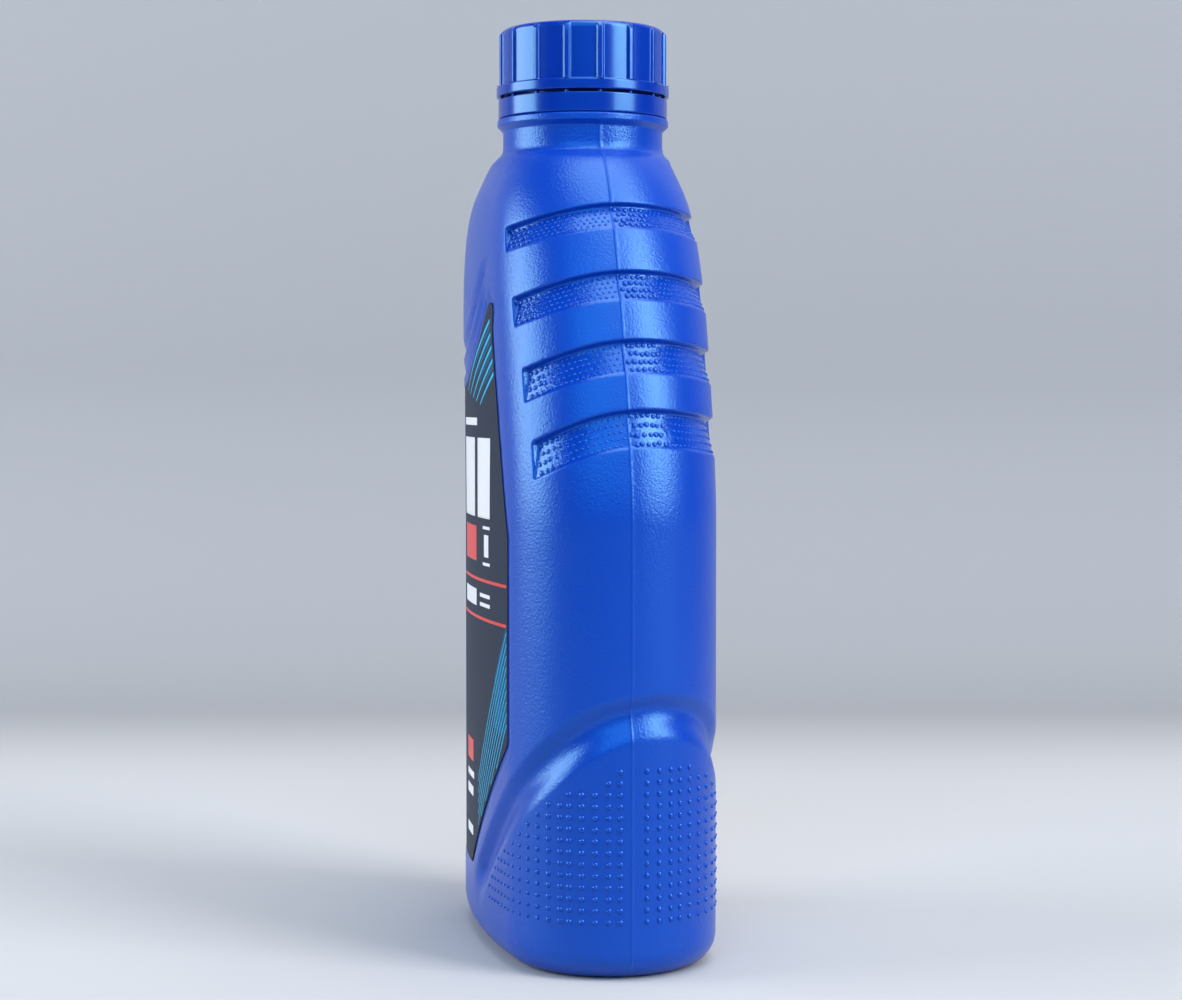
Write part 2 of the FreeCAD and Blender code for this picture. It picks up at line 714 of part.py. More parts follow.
plain_cap = cap_shell.Tip
rounding = cap_shell.newObject("PartDesign::Fillet", "cap_top_edge")
rounding.Base = (plain_cap, edges_of(plain_cap.Shape, top_circle))
rounding.setExpression("Radius", "Sizes.cap_top_rounding")
cap_shell.Tip = rounding
doc.recompute()
rib = post(cap_shell, "cap_rib", [
    ("Sizes.cap_radius - Sizes.rib_height", "Sizes.rib_width"),
    ("Sizes.cap_radius", "Sizes.rib_width"),
    ("Sizes.cap_radius + Sizes.rib_height", "Sizes.rib_crest"),
], "Sizes.flange_height / 2",
    "%s - Sizes.flange_height / 2 - Sizes.cap_top_rounding / 2" % CAP_HEIGHT_EXPRESSION)
pattern_round(cap_shell, rib, "cap_ribs", "Sizes.rib_count")

# The cap's thread hangs half a pitch below the neck's thread, in its valley
cap_thread_foot = neck_thread_foot - SCREW_PITCH / 2
cap_crest = size("cap_bore") - size("thread_depth")
cap_thread = add_feature("cap_thread", helical_thread(size("cap_bore"), cap_crest,
                                                      cap_thread_foot))
screw_cap = add_boolean("Fuse", "screw_cap_solid", cap_shell, cap_thread, label="screw_cap")

# Tamper band: ring with an inward lip, and the bridges that hold it to the cap

tamper_band = turned_body("tamper_band", "tamper_band", [
    ("Sizes.band_lip_bore", "0"),
    ("Sizes.band_radius", "0"),
    ("Sizes.band_radius", "Sizes.band_height"),
    ("Sizes.band_bore", "Sizes.band_height"),
    ("Sizes.band_bore", "Sizes.band_lip_height"),
    ("Sizes.band_lip_bore", "Sizes.band_lip_height"),
], BAND_FOOT_EXPRESSION)
bridge = post(tamper_band, "bridge", [
    ("Sizes.band_bore + Sizes.bridge_inset", "Sizes.bridge_width"),
    ("Sizes.band_radius - Sizes.bridge_inset", "Sizes.bridge_width"),
], "Sizes.band_height - Sizes.bridge_root", "Sizes.bridge_gap + Sizes.bridge_root")
pattern_round(tamper_band, bridge, "bridges", "Sizes.bridge_count")

# Wad in the cap and foil over the mouth

cap_liner = doc.addObject("Part::Cylinder", "cap_liner")
cap_liner.setExpression("Radius", "Sizes.cap_bore - Sizes.liner_side_gap")
cap_liner.setExpression("Height", "Sizes.liner_thickness")
cap_liner.setExpression("Placement.Base.z", "%s - Sizes.liner_thickness" % CEILING_EXPRESSION)
foil_seal = doc.addObject("Part::Cylinder", "foil_seal")
foil_seal.setExpression("Radius", "Sizes.finish_radius")
foil_seal.setExpression("Height", "Sizes.foil_thickness")
foil_seal.setExpression("Placement.Base.z", MOUTH_EXPRESSION)
doc.recompute()

NODES = [bottle, oil, front_label, back_label, screw_cap, tamper_band, cap_liner, foil_seal]

for obj in doc.Objects:
    failed = [state for state in obj.State if state in ("Invalid", "Error")]
    if failed:
        raise RuntimeError("%s did not compute: %s" % (obj.Name, failed))
for node in NODES:
    if node.Shape.isNull() or not node.Shape.isValid():
        raise RuntimeError("%s has no valid shape" % node.Label)

print("hollow brimful %.0f ml" % (hollow.Shape.Volume / 1000))
os.makedirs("parts", exist_ok=True)
for node in NODES:
    node.Shape.exportStep("parts/%s.step" % node.Label)
    box = node.Shape.optimalBoundingBox(False)
    print("%-12s solids %d  volume %9.1f  x %.2f..%.2f  y %.2f..%.2f  z %.2f..%.2f" % (
        node.Label, len(node.Shape.Solids), node.Shape.Volume,
        box.XMin, box.XMax, box.YMin, box.YMax, box.ZMin, box.ZMax))
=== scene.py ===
"""Looks of a blue plastic motor oil bottle with a screw cap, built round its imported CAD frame."""
import logging
import math
from dataclasses import dataclass, field
from enum import Enum
from typing import Callable, Sequence

import bpy
import numpy as np
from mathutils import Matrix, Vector


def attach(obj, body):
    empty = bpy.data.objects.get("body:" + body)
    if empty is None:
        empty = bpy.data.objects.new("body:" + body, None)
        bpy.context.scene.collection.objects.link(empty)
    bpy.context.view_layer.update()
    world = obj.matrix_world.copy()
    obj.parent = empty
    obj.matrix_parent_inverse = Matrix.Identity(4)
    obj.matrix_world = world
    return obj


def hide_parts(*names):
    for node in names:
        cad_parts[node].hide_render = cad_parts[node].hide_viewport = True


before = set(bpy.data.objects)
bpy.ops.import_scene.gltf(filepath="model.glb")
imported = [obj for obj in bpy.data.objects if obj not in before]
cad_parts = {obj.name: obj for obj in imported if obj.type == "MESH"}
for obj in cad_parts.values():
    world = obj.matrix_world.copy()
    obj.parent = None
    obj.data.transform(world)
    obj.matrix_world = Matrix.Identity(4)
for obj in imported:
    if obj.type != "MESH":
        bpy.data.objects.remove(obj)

LOG = logging.getLogger("motor_oil_bottle")
MM = 0.001
TAU = 2.0 * math.pi
TINY = 1e-9
CLOSE = 1e-6
Array = np.ndarray
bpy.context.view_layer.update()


class Body(str, Enum):
    """Rigid bodies of the frame."""

    PACK = "pack"
    WAD = "wad"
    CAP = "cap"


class Slot(str, Enum):
    """Material slots of the record."""

    BOTTLE = "bottle_blue"
    OIL = "oil"
    FRONT = "front_film"
    BACK = "back_film"
    CAP = "cap_blue"
    WAD = "wad"
    FOIL = "foil"


class Face(int, Enum):
    """The two broad faces of the bottle, by the sign of Y."""

    FRONT = -1
    BACK = 1


# Sizes of the bottle, in millimetres


@dataclass(frozen=True)
class Shoulder:
    """Cubic curve of one side's wall, from its upright part to the neck's base."""

    widest: float
    start: float
    lower_pull: float
    upper_reach: float
    upper_drop: float


@dataclass(frozen=True)
class BottleSizes:
    """Main sizes of the blown bottle."""

    grip: Shoulder = Shoulder(59.0, 111.0, 22.7, 17.1, 6.0)
    upright: Shoulder = Shoulder(52.0, 172.0, 28.8, 22.8, 0.9)
    face: Shoulder = Shoulder(29.4, 158.0, 42.8, 3.7, 10.9)
    corner_angle: float = math.radians(82.0)
    wall: float = 1.0
    base_rounding: float = 7.5
    recess_depth: float = 3.0
    recess_inset: float = 11.0
    recess_draft: float = 4.0
    neck_base: float = 206.4
    neck_radius: float = 21.1
    cove_width: float = 1.6
    cove_height: float = 2.6
    bead_foot: float = 214.0
    bead_radius: float = 22.6
    bead_top: float = 216.5
    bead_chamfer: float = 0.7
    finish_radius: float = 18.9
    mouth: float = 237.2
    bore_radius: float = 16.8
    locking_foot: float = 218.1
    locking_height: float = 1.5
    locking_radius: float = 20.5


@dataclass(frozen=True)
class GrooveSizes:
    """The grip grooves, each next one narrower and flatter than the one below.

    The upper wall runs between two distances below the upper edge, the floor starts at a third
    one, and the lower step lies between two distances above the lower edge.
    """

    count: int = 4
    lowest_top: float = 140.0
    pitch: float = 17.3
    height: float = 9.3
    narrowing: float = 1.0
    depth: float = 1.9
    crown_offset: float = 4.0
    front_radius: float = 43.0
    front_radius_gain: float = 8.7
    back_radius: float = 104.0
    front_angle: float = math.radians(-54.0)
    front_angle_gain: float = math.radians(-4.2)
    back_reach: float = 7.0
    step: float = 0.4
    end_width: float = 0.8
    back_fade: float = 3.0
    upper_wall: tuple[float, float] = (-0.4, 0.5)
    upper_softness: float = 0.2
    floor_start: float = 1.3
    lower_step: tuple[float, float] = (0.45, 0.05)
    lower_softness: float = 0.1
    sag_limits: tuple[float, float] = (-1.4, 1.5)


@dataclass(frozen=True)
class ChannelSizes:
    """The channel that arches over the dotted foot of the grip side."""

    top: float = 67.0
    offset: float = 7.0
    radius: float = 39.0
    fall: float = math.radians(38.7)
    leg: float = 72.0
    fade: float = 12.0
    above: float = 4.4
    below: float = 8.0


@dataclass(frozen=True)
class LabelSizes:
    """A label's film and the panel that it lies in."""

    corner: float = 3.0
    margin: float = 2.5
    panel_depth: float = 0.5
    outer_inset: float = 0.25
    inner_inset: float = 0.40


BOTTLE = BottleSizes()
GROOVES = GrooveSizes()
CHANNEL = ChannelSizes()
LABEL = LabelSizes()

FRONT_CORNERS = np.array([(-29.0, 19.0), (-6.0, 19.0), (36.0, 56.0), (36.0, 108.0),
                          (17.0, 169.0)])
FRONT_SWEEP_END = np.array((-29.0, 146.0))
FRONT_SWEEP = 6.0
SWEEP_POINTS = 18
CHAIN_DENSITY = 12
BACK_CORNERS = np.array([(-29.0, 26.0), (-9.0, 26.0), (36.0, 66.0), (36.0, 112.0),
                         (-29.0, 112.0)])


# Meshes


class MeshParts:
    """Vertices and faces of one piece, gathered block by block in millimetres."""

    def __init__(self) -> None:
        """Start empty."""
        self._points: list[Array] = []
        self._count = 0
        self._corners: list[Array] = []
        self._sides: list[Array] = []

    def add_points(self, points: Array) -> Array:
        """Add points and give their indexes.

        Args:
            points: Array of any shape whose last axis is x, y, z.

        Returns:
            Indexes in the shape of the other axes.
        """
        flat = points.reshape(-1, 3)
        indexes = np.arange(self._count, self._count + len(flat))
        self._points.append(flat)
        self._count += len(flat)
        return indexes.reshape(points.shape[:-1])

    def add_faces(self, corners: Array) -> None:
        """Add faces with the same number of corners.

        Args:
            corners: Array (faces, corners) of vertex indexes, anticlockwise from outside.
        """
        self._corners.append(corners.reshape(-1))
        self._sides.append(np.full(len(corners), corners.shape[1]))

    def add_sheet(self, indexes: Array, closed: bool = False) -> None:
        """Join grids of vertices with quads; columns run to the right and rows upwards.

        Args:
            indexes: Array (..., rows, columns) of vertex indexes.
            closed: Whether the last column joins the first.
        """
        grid = np.concatenate([indexes, indexes[..., :1]], axis=-1) if closed else indexes
        low, high = grid[..., :-1, :], grid[..., 1:, :]
        quads = np.stack([low[..., :-1], low[..., 1:], high[..., 1:], high[..., :-1]], axis=-1)
        self.add_faces(quads.reshape(-1, 4))

    def add_tube(self, points: Array) -> Array:
        """Add rows of points that each run right round, joined with quads.

        Args:
            points: Array (..., rows, columns, 3).

        Returns:
            Their indexes (..., rows, columns).
        """
        indexes = self.add_points(points)
        self.add_sheet(indexes, closed=True)
        return indexes

    def add_cap(self, ring: Array, upwards: bool) -> None:
        """Close a ring of vertices with one flat face.

        Args:
            ring: Vertex indexes, anticlockwise seen from above.
            upwards: Whether the face looks up.
        """
        self.add_faces((ring if upwards else ring[::-1]).reshape(1, -1))

    def add_stitch(self, fine: Array, kept: Array, coarse: Array, above: bool) -> None:
        """Join a fine closed ring to a coarse one, with one face to each side of the coarse one.

        Args:
            fine: Vertex indexes of the fine ring.
            kept: Positions in the fine ring, rising, that face the coarse ring's vertices.
            coarse: Vertex indexes of the coarse ring.
            above: Whether the coarse ring comes after the fine one.
        """
        turns = np.append(kept, kept[0] + len(fine))
        for number, (start, stop) in enumerate(zip(turns[:-1], turns[1:])):
            run = fine[np.arange(start, stop + 1) % len(fine)]
            side = coarse[[number, (number + 1) % len(coarse)]]
            face = (run, side[::-1]) if above else (side, run[::-1])
            self.add_faces(np.concatenate(face).reshape(1, -1))

    def make(self, name: str) -> bpy.types.Object:
        """Make the object, with smooth shading.

        Args:
            name: Name of the object.

        Returns:
            The new object, linked to the scene.
        """
        mesh = bpy.data.meshes.new(name)
        points = np.concatenate(self._points) * MM
        corners = np.concatenate(self._corners)
        sides = np.concatenate(self._sides)
        mesh.vertices.add(len(points))
        mesh.vertices.foreach_set("co", points.reshape(-1).astype(np.float32))
        mesh.loops.add(len(corners))
        mesh.loops.foreach_set("vertex_index", corners.astype(np.int32))
        mesh.polygons.add(len(sides))
        starts = np.concatenate([[0], np.cumsum(sides)[:-1]])
        mesh.polygons.foreach_set("loop_start", starts.astype(np.int32))
        mesh.polygons.foreach_set("loop_total", sides.astype(np.int32))
        mesh.polygons.foreach_set("use_smooth", np.ones(len(sides), bool))
        mesh.update(calc_edges=True)
        mesh.validate()
        obj = bpy.data.objects.new(name, mesh)
        bpy.context.scene.collection.objects.link(obj)
        return obj


def spaced(start: float, stop: float, step: float) -> Array:
    """Even places from start up to but not at stop, no further apart than step.

    Args:
        start: First place.
        stop: End of the range, where no place stands.
        step: Largest distance.

    Returns:
        The places.
    """
    return np.linspace(start, stop, max(1, math.ceil((stop - start) / step)), endpoint=False)


def even_turns(count: int) -> Array:
    """Angles of even places round a full turn.

    Args:
        count: Number of places.

    Returns:
        Rising angles from 0.
    """
    return np.arange(count) * TAU / count


def smooth_step(value: Array) -> Array:
    """Ramp from 0 to 1 with level ends: 3 t squared less 2 t cubed, t held between 0 and 1.

    Args:
        value: Places along the ramp, from 0 to 1.

    Returns:
        Heights of the ramp.
    """
    held = np.clip(value, 0.0, 1.0)
    return held * held * (3.0 - 2.0 * held)


class SoftProfile:
    """Broken line whose corners are rounded by a bell-shaped average."""

    STEP = 0.04
    REACH = 4

    def __init__(self, knots: Sequence[tuple[float, float]], softness: float) -> None:
        """Work out a fine table of the rounded line.

        Args:
            knots: Corners of the line, as (place, height), places rising.
            softness: Width of the average.
        """
        places, heights = np.array(knots, float).T
        half = round(self.REACH * softness / self.STEP)
        around = 2 * self.REACH * softness
        self.table_places = np.arange(places[0] - around, places[-1] + around, self.STEP)
        plain = np.interp(self.table_places, places, heights)
        weights = np.exp(-0.5 * (np.arange(-half, half + 1) * self.STEP / softness) ** 2)
        padded = np.pad(plain, half, mode="edge")
        self.table_heights = np.convolve(padded, weights / weights.sum(), mode="valid")

    def __call__(self, place: Array) -> Array:
        """Height of the rounded line at places.

        Args:
            place: Places along the line.

        Returns:
            Heights there.
        """
        return np.interp(place, self.table_places, self.table_heights)


# Outlines in the XZ plane


def inset_outline(points: Array, distance: float) -> Array:
    """Move each corner of an anticlockwise outline inwards along its bisector.

    Args:
        points: Corners (n, 2).
        distance: How far the sides move.

    Returns:
        Corners of the smaller outline.
    """
    ahead = np.roll(points, -1, axis=0) - points
    ahead /= np.linalg.norm(ahead, axis=1, keepdims=True)
    inward = np.stack([-ahead[:, 1], ahead[:, 0]], axis=1)
    before = np.roll(inward, 1, axis=0)
    share = 1.0 + np.sum(inward * before, axis=1, keepdims=True)
    return points + distance * (inward + before) / share


def signed_distance(points: Array, place: Array) -> Array:
    """Distance from places to an outline, negative inside.

    Args:
        points: Corners of the outline (n, 2).
        place: Places (..., 2).

    Returns:
        Distances.
    """
    nearest = np.full(place.shape[:-1], np.inf)
    inside = np.zeros(place.shape[:-1], bool)
    for start, stop in zip(points, np.roll(points, -1, axis=0)):
        side = stop - start
        offset = place - start
        along = np.clip(offset @ side / (side @ side), 0.0, 1.0)
        nearest = np.minimum(nearest, np.linalg.norm(offset - along[..., None] * side, axis=-1))
        crosses = (start[1] > place[..., 1]) != (stop[1] > place[..., 1])
        rise = side[1] if abs(side[1]) > TINY else TINY
        cut = start[0] + (place[..., 1] - start[1]) * side[0] / rise
        inside ^= crosses & (place[..., 0] < cut)
    return np.where(inside, -nearest, nearest)


def front_outline() -> Array:
    """Corners of the front label: slanted foot, slanted side and a hollow sweep along the top.

    The sweep is the arc of a circle through the peak, a point below the middle of the chord,
    and the top of the label's edge at the upright side.

    Returns:
        Corners (n, 2), anticlockwise.
    """
    start, stop = FRONT_CORNERS[-1], FRONT_SWEEP_END
    chord = stop - start
    length = np.linalg.norm(chord)
    radius = (length ** 2 / 4 + FRONT_SWEEP ** 2) / (2 * FRONT_SWEEP)
    along = chord / length
    across = np.array((-along[1], along[0]))
    half_turn = math.asin(length / 2 / radius)
    turn = np.linspace(-half_turn, half_turn, SWEEP_POINTS)[:, None]
    sag = radius * (np.cos(turn) - math.cos(half_turn))
    arc = (start + stop) / 2 + along * radius * np.sin(turn) + across * sag
    return np.concatenate([FRONT_CORNERS[:-1], arc])


def rounded_chains(outline: Array, corner: float, columns: int) -> Array:
    """Lower and upper edge of an outline with rounded corners, at even places across.

    Each edge is the furthest reach of circles of the corner's radius that stand on the
    outline moved inwards by that radius.

    Args:
        outline: Corners (n, 2), anticlockwise.
        corner: Radius of the corners.
        columns: Number of places across.

    Returns:
        Array (columns, 3) of x, lower z and upper z.
    """
    core = inset_outline(outline, corner)
    dense = np.concatenate([
        np.linspace(start, stop, 2 + int(CHAIN_DENSITY * np.linalg.norm(stop - start) / corner))
        for start, stop in zip(core, np.roll(core, -1, axis=0))])
    left, right = dense[:, 0].min() - corner, dense[:, 0].max() + corner
    turn = np.linspace(0.0, math.pi, columns)
    x = (left + right) / 2 - (right - left) / 2 * np.cos(turn)
    gap = np.abs(x[:, None] - dense[None, :, 0])
    lift = np.sqrt(np.clip(corner ** 2 - gap ** 2, 0.0, None))
    reached = gap <= corner + CLOSE
    low = np.where(reached, dense[None, :, 1] - lift, np.inf).min(axis=1)
    high = np.where(reached, dense[None, :, 1] + lift, -np.inf).max(axis=1)
    return np.stack([x, low, high], axis=1)


# The bottle's wall

CURVE_POINTS = 1200


def shoulder_reach(side: Shoulder, height: Array) -> Array:
    """Distance from the neck's axis to the wall on one side.

    Cubic Bezier in (reach, height): upright at its foot, level with the cove at its top. The
    reach is read from the curve at each height.

    Args:
        side: The side's curve.
        height: Heights.

    Returns:
        Reaches.
    """
    t = np.linspace(0.0, 1.0, CURVE_POINTS)
    weights = np.stack([(1 - t) ** 3, 3 * t * (1 - t) ** 2, 3 * t * t * (1 - t), t ** 3])
    poles = np.array([
        (side.widest, side.start),
        (side.widest, side.start + side.lower_pull),
        (BOTTLE.neck_radius + side.upper_reach, BOTTLE.neck_base - side.upper_drop),
        (BOTTLE.neck_radius + BOTTLE.cove_width, BOTTLE.neck_base),
    ])
    reaches, heights = poles.T @ weights
    return np.interp(height, heights, reaches)


class Oval:
    """Level sections of the body: two end arcs and two flat crowns, all tangent."""

    def __init__(self, height: Array, inset: Array | float = 0.0) -> None:
        """Work out the arcs at heights.

        Args:
            height: Heights.
            inset: How far the section is moved inwards.
        """
        grip = shoulder_reach(BOTTLE.grip, height)
        upright = shoulder_reach(BOTTLE.upright, height)
        face = shoulder_reach(BOTTLE.face, height)
        turn = BOTTLE.corner_angle
        half_width = (grip + upright) / 2
        spread = (half_width - face) / (math.sin(turn) + math.cos(turn) - 1)
        self.centre = (grip - upright) / 2
        self.end_offset = spread * math.cos(turn)
        self.crown_offset = spread * math.sin(turn)
        self.end_radius = half_width - self.end_offset - inset
        self.crown_radius = self.end_radius + spread

    def point(self, angle: Array) -> tuple[Array, Array]:
        """Point of the section whose outward direction has an angle.

        An end arc up to the corner angle, then the crown's arc up to the same angle from the
        other end, then the other end arc.

        Args:
            angle: Angles from the grip side, from minus pi to pi.

        Returns:
            x and y.
        """
        turn = BOTTLE.corner_angle
        size = np.abs(angle)
        cosine, sine = np.cos(angle), np.sin(size)
        at_grip, at_upright = size <= turn, size >= math.pi - turn
        x = np.where(at_grip, self.end_offset + self.end_radius * cosine,
                     np.where(at_upright, -self.end_offset + self.end_radius * cosine,
                              self.crown_radius * cosine))
        y = np.where(at_grip | at_upright, self.end_radius * sine,
                     self.crown_radius * sine - self.crown_offset)
        return x + self.centre, y * np.sign(angle)

    def angle_at(self, x: Array) -> Array:
        """Angle of outward direction, from 0 to pi, at places across the bottle.

        Args:
            x: Places across.

        Returns:
            Angles.
        """
        across = x - self.centre
        crown = across / self.crown_radius
        grip = (across - self.end_offset) / self.end_radius
        upright = (across + self.end_offset) / self.end_radius
        limit = math.cos(BOTTLE.corner_angle)
        cosine = np.where(crown > limit, grip, np.where(crown < -limit, upright, crown))
        return np.arccos(np.clip(cosine, -1.0, 1.0))


UPRIGHT_HEIGHT = 50.0
STRAIGHT = Oval(np.array(UPRIGHT_HEIGHT))
END_RADIUS = float(STRAIGHT.end_radius)
CROWN_RADIUS = float(STRAIGHT.crown_radius)
CORNER_LENGTH = BOTTLE.corner_angle * END_RADIUS


def wall_length(angle: Array) -> Array:
    """Length round the straight wall from the grip side to an angle, signed.

    Args:
        angle: Angles of outward direction.

    Returns:
        Lengths, positive towards the back.
    """
    turn = BOTTLE.corner_angle
    size = np.abs(angle)
    on_end = np.minimum(size, turn) * END_RADIUS
    on_crown = np.clip(size - turn, 0.0, math.pi - 2 * turn) * CROWN_RADIUS
    on_far = np.clip(size - (math.pi - turn), 0.0, None) * END_RADIUS
    return np.sign(angle) * (on_end + on_crown + on_far)


class Groove:
    """Relief of one grip groove: rounded steep upper wall, slanting floor, small lower step."""

    def __init__(self, number: int) -> None:
        """Work out the groove's place and profiles.

        Args:
            number: Which groove, from the lowest.
        """
        self.crest = GROOVES.lowest_top + number * GROOVES.pitch
        self.height = GROOVES.height - number * GROOVES.narrowing
        self.front = GROOVES.front_angle + number * GROOVES.front_angle_gain
        self.front_radius = GROOVES.front_radius + number * GROOVES.front_radius_gain
        self.end_radius = float(Oval(np.array(self.crest)).end_radius)
        wall_top, wall_foot = GROOVES.upper_wall
        self.upper = SoftProfile([(wall_top, 0.0), (wall_foot, GROOVES.depth)],
                                 GROOVES.upper_softness)
        step_top, step_foot = GROOVES.lower_step
        self.lower = SoftProfile([(GROOVES.floor_start, 0.0),
                                  (self.height - step_top, GROOVES.depth - GROOVES.step),
                                  (self.height - step_foot, GROOVES.depth)],
                                 GROOVES.lower_softness)

    def top(self, angle: Array) -> Array:
        """Height of the upper edge, which sags towards the front and the back.

        The sag is the square of the way sideways over twice the arc's radius.

        Args:
            angle: Angles of outward direction.

        Returns:
            Heights.
        """
        held = np.clip(angle, *GROOVES.sag_limits)
        sideways = self.end_radius * np.sin(held) - GROOVES.crown_offset
        radius = np.where(sideways < 0, self.front_radius, GROOVES.back_radius)
        return self.crest - sideways ** 2 / (2 * radius)

    def depth(self, angle: Array, height: Array) -> Array:
        """How deep the wall lies under its plain form.

        Args:
            angle: Angles of outward direction.
            height: Heights.

        Returns:
            Depths.
        """
        below = self.top(angle) - height
        from_front = (angle - self.front) * self.end_radius
        from_back = CORNER_LENGTH + GROOVES.back_reach - wall_length(angle)
        ends = (smooth_step(from_front / GROOVES.end_width)
                * smooth_step(from_back / GROOVES.back_fade))
        return (self.upper(below) - self.lower(below)) * ends


GRIP_GROOVES = [Groove(number) for number in range(GROOVES.count)]
CHANNEL_PROFILE = SoftProfile([(-7.2, 0.0), (-5.4, 0.55), (-2.6, 1.85), (-0.9, 2.2), (0.3, 2.2),
                               (3.0, 0.35), (3.7, 0.0)], 0.4)


def groove_polish(angle: Array, height: Array) -> Array:
    """Share of gloss of the wall: the grooves' floors are smooth, the rest has a grain.

    Args:
        angle: Angles of outward direction.
        height: Heights.

    Returns:
        Shares from 0 to 1.
    """
    depth = sum(groove.depth(angle, height) for groove in GRIP_GROOVES)
    return np.clip(depth / GROOVES.step, 0.0, 1.0)


def channel_centre(length: Array) -> Array:
    """Height of the channel's floor over a place round the wall.

    An arc of a circle over the grip side, then straight legs that fall to both sides.

    Args:
        length: Lengths round the wall.

    Returns:
        Heights.
    """
    sideways = np.abs(length - CHANNEL.offset)
    turn_width = CHANNEL.radius * math.sin(CHANNEL.fall)
    arc = np.sqrt(np.clip(CHANNEL.radius ** 2 - sideways ** 2, 0.0, None)) - CHANNEL.radius
    leg = (CHANNEL.radius * (math.cos(CHANNEL.fall) - 1)
           - (sideways - turn_width) * math.tan(CHANNEL.fall))
    return CHANNEL.top + np.where(sideways < turn_width, arc, leg)


def channel_depth(length: Array, height: Array) -> Array:
    """How deep the channel cuts at places of the unrolled wall.

    Over the arc the distance is measured from the circle, beside it from the straight legs. The
    depth fades to nothing at both ends.

    Args:
        length: Lengths round the wall.
        height: Heights.

    Returns:
        Depths.
    """
    side = np.abs(length - CHANNEL.offset)
    up = height - (CHANNEL.top - CHANNEL.radius)
    turn = np.arctan2(side, np.maximum(up, CLOSE))
    turn = np.where(up <= 0, math.pi, turn)
    round_arc = np.hypot(side, up) - CHANNEL.radius
    cosine, sine = math.cos(CHANNEL.fall), math.sin(CHANNEL.fall)
    beside_leg = side * sine + up * cosine - CHANNEL.radius
    along_leg = side * cosine - up * sine
    distance = np.where(turn < CHANNEL.fall, round_arc, beside_leg)
    left = np.where(turn < CHANNEL.fall, CHANNEL.leg, CHANNEL.leg - along_leg)
    return CHANNEL_PROFILE(distance) * smooth_step(left / CHANNEL.fade)


PANEL_CORES = {
    Face.FRONT: inset_outline(front_outline(), LABEL.corner),
    Face.BACK: inset_outline(BACK_CORNERS, LABEL.corner),
}
PANEL_EDGE = 1.1
SHOULDER_LINES = (5.0, 10.5)
SHOULDER_LINE_DEPTH = 0.9
SHOULDER_LINE_WIDTH = 1.5
SHOULDER_LINE_FOOT = (143.0, 6.0)
SHOULDER_LINE_END = (16.0, 8.0)
RIDGE_HEIGHT = 0.2
RIDGE_WIDTH = 0.17
RIDGE_FADE = 2.0


def panel_depth(face: Face, x: Array, y: Array, height: Array) -> Array:
    """How deep a label's panel lies under the wall.

    Args:
        face: Which face.
        x: Places across.
        y: Places from front to back, whose sign tells the face.
        height: Heights.

    Returns:
        Depths.
    """
    core = PANEL_CORES[face]
    distance = signed_distance(core, np.stack([x, height], axis=-1))
    inside = (LABEL.corner + LABEL.margin - distance) / PANEL_EDGE
    depth = LABEL.panel_depth * smooth_step(inside)
    if face is Face.FRONT:
        foot, foot_fade = SHOULDER_LINE_FOOT
        end, end_fade = SHOULDER_LINE_END
        over = smooth_step((height - foot) / foot_fade) * smooth_step((end - x) / end_fade)
        for line in SHOULDER_LINES:
            across = (distance - LABEL.corner - line) / SHOULDER_LINE_WIDTH
            depth = depth + SHOULDER_LINE_DEPTH * over * np.exp(-across ** 2)
    return depth * (np.sign(y) == face.value)


def ridge(side_length: Array) -> Array:
    """Height of the raised parting line at a distance from it, a bell curve.

    Args:
        side_length: Distances from the line.

    Returns:
        Heights.
    """
    return RIDGE_HEIGHT * np.exp(-0.5 * (side_length / RIDGE_WIDTH) ** 2)


def foot_inset(height: Array) -> Array:
    """How far the quarter circle round the foot moves the wall inwards.

    Args:
        height: Heights.

    Returns:
        Insets, none above the rounding.
    """
    below = np.clip(BOTTLE.base_rounding - height, 0.0, BOTTLE.base_rounding)
    return BOTTLE.base_rounding - np.sqrt(BOTTLE.base_rounding ** 2 - below ** 2)


def wall_point(angle: Array, height: Array) -> Array:
    """Points of the bottle's outer wall, with all its relief.

    The oval's point, moved level along the outward direction by the relief.

    Args:
        angle: Angles of outward direction.
        height: Heights.

    Returns:
        Points (..., 3).
    """
    angle, height = np.broadcast_arrays(angle, height)
    oval = Oval(height, foot_inset(height))
    x, y = oval.point(angle)
    depth = channel_depth(wall_length(angle), height)
    for groove in GRIP_GROOVES:
        depth = depth + groove.depth(angle, height)
    for face in Face:
        depth = depth + panel_depth(face, x, y, height)
    size = np.abs(angle)
    fade = smooth_step((BOTTLE.neck_base - height) / RIDGE_FADE + 1.0)
    depth = depth - fade * ridge(size * oval.end_radius)
    depth = depth - fade * ridge((math.pi - size) * oval.end_radius)
    return np.stack([x - depth * np.cos(angle), y - depth * np.sin(angle), height], axis=-1)


GRIP_STEP = 0.58
FRONT_STEP = 0.9
BACK_STEP = 1.3
FAR_STEP = 2.0
LEAST_STEP = 0.09
ANGLE_DIGITS = 5
GROOVE_END_COLUMNS = 6
GROOVE_END_MARGIN = 0.1
NEAR_RIDGE = np.array([-0.5, -0.32, -0.2, -0.1, 0.0, 0.1, 0.2, 0.32, 0.5])
RIDGE_MIDDLE = 4
FOOT_STEPS = 10
FOOT_ROWS = 14
CHANNEL_ROWS = 26
BODY_ROWS = 66
SHOULDER_ROWS = 17
LEAST_FOOT = 1.2
LEAST_CHANNEL = 4.0
LOWER_GUIDES = ((-0.35, 4), (0.9, 10))
UPPER_GUIDES = ((-1.1, 10), (0.9, 6))


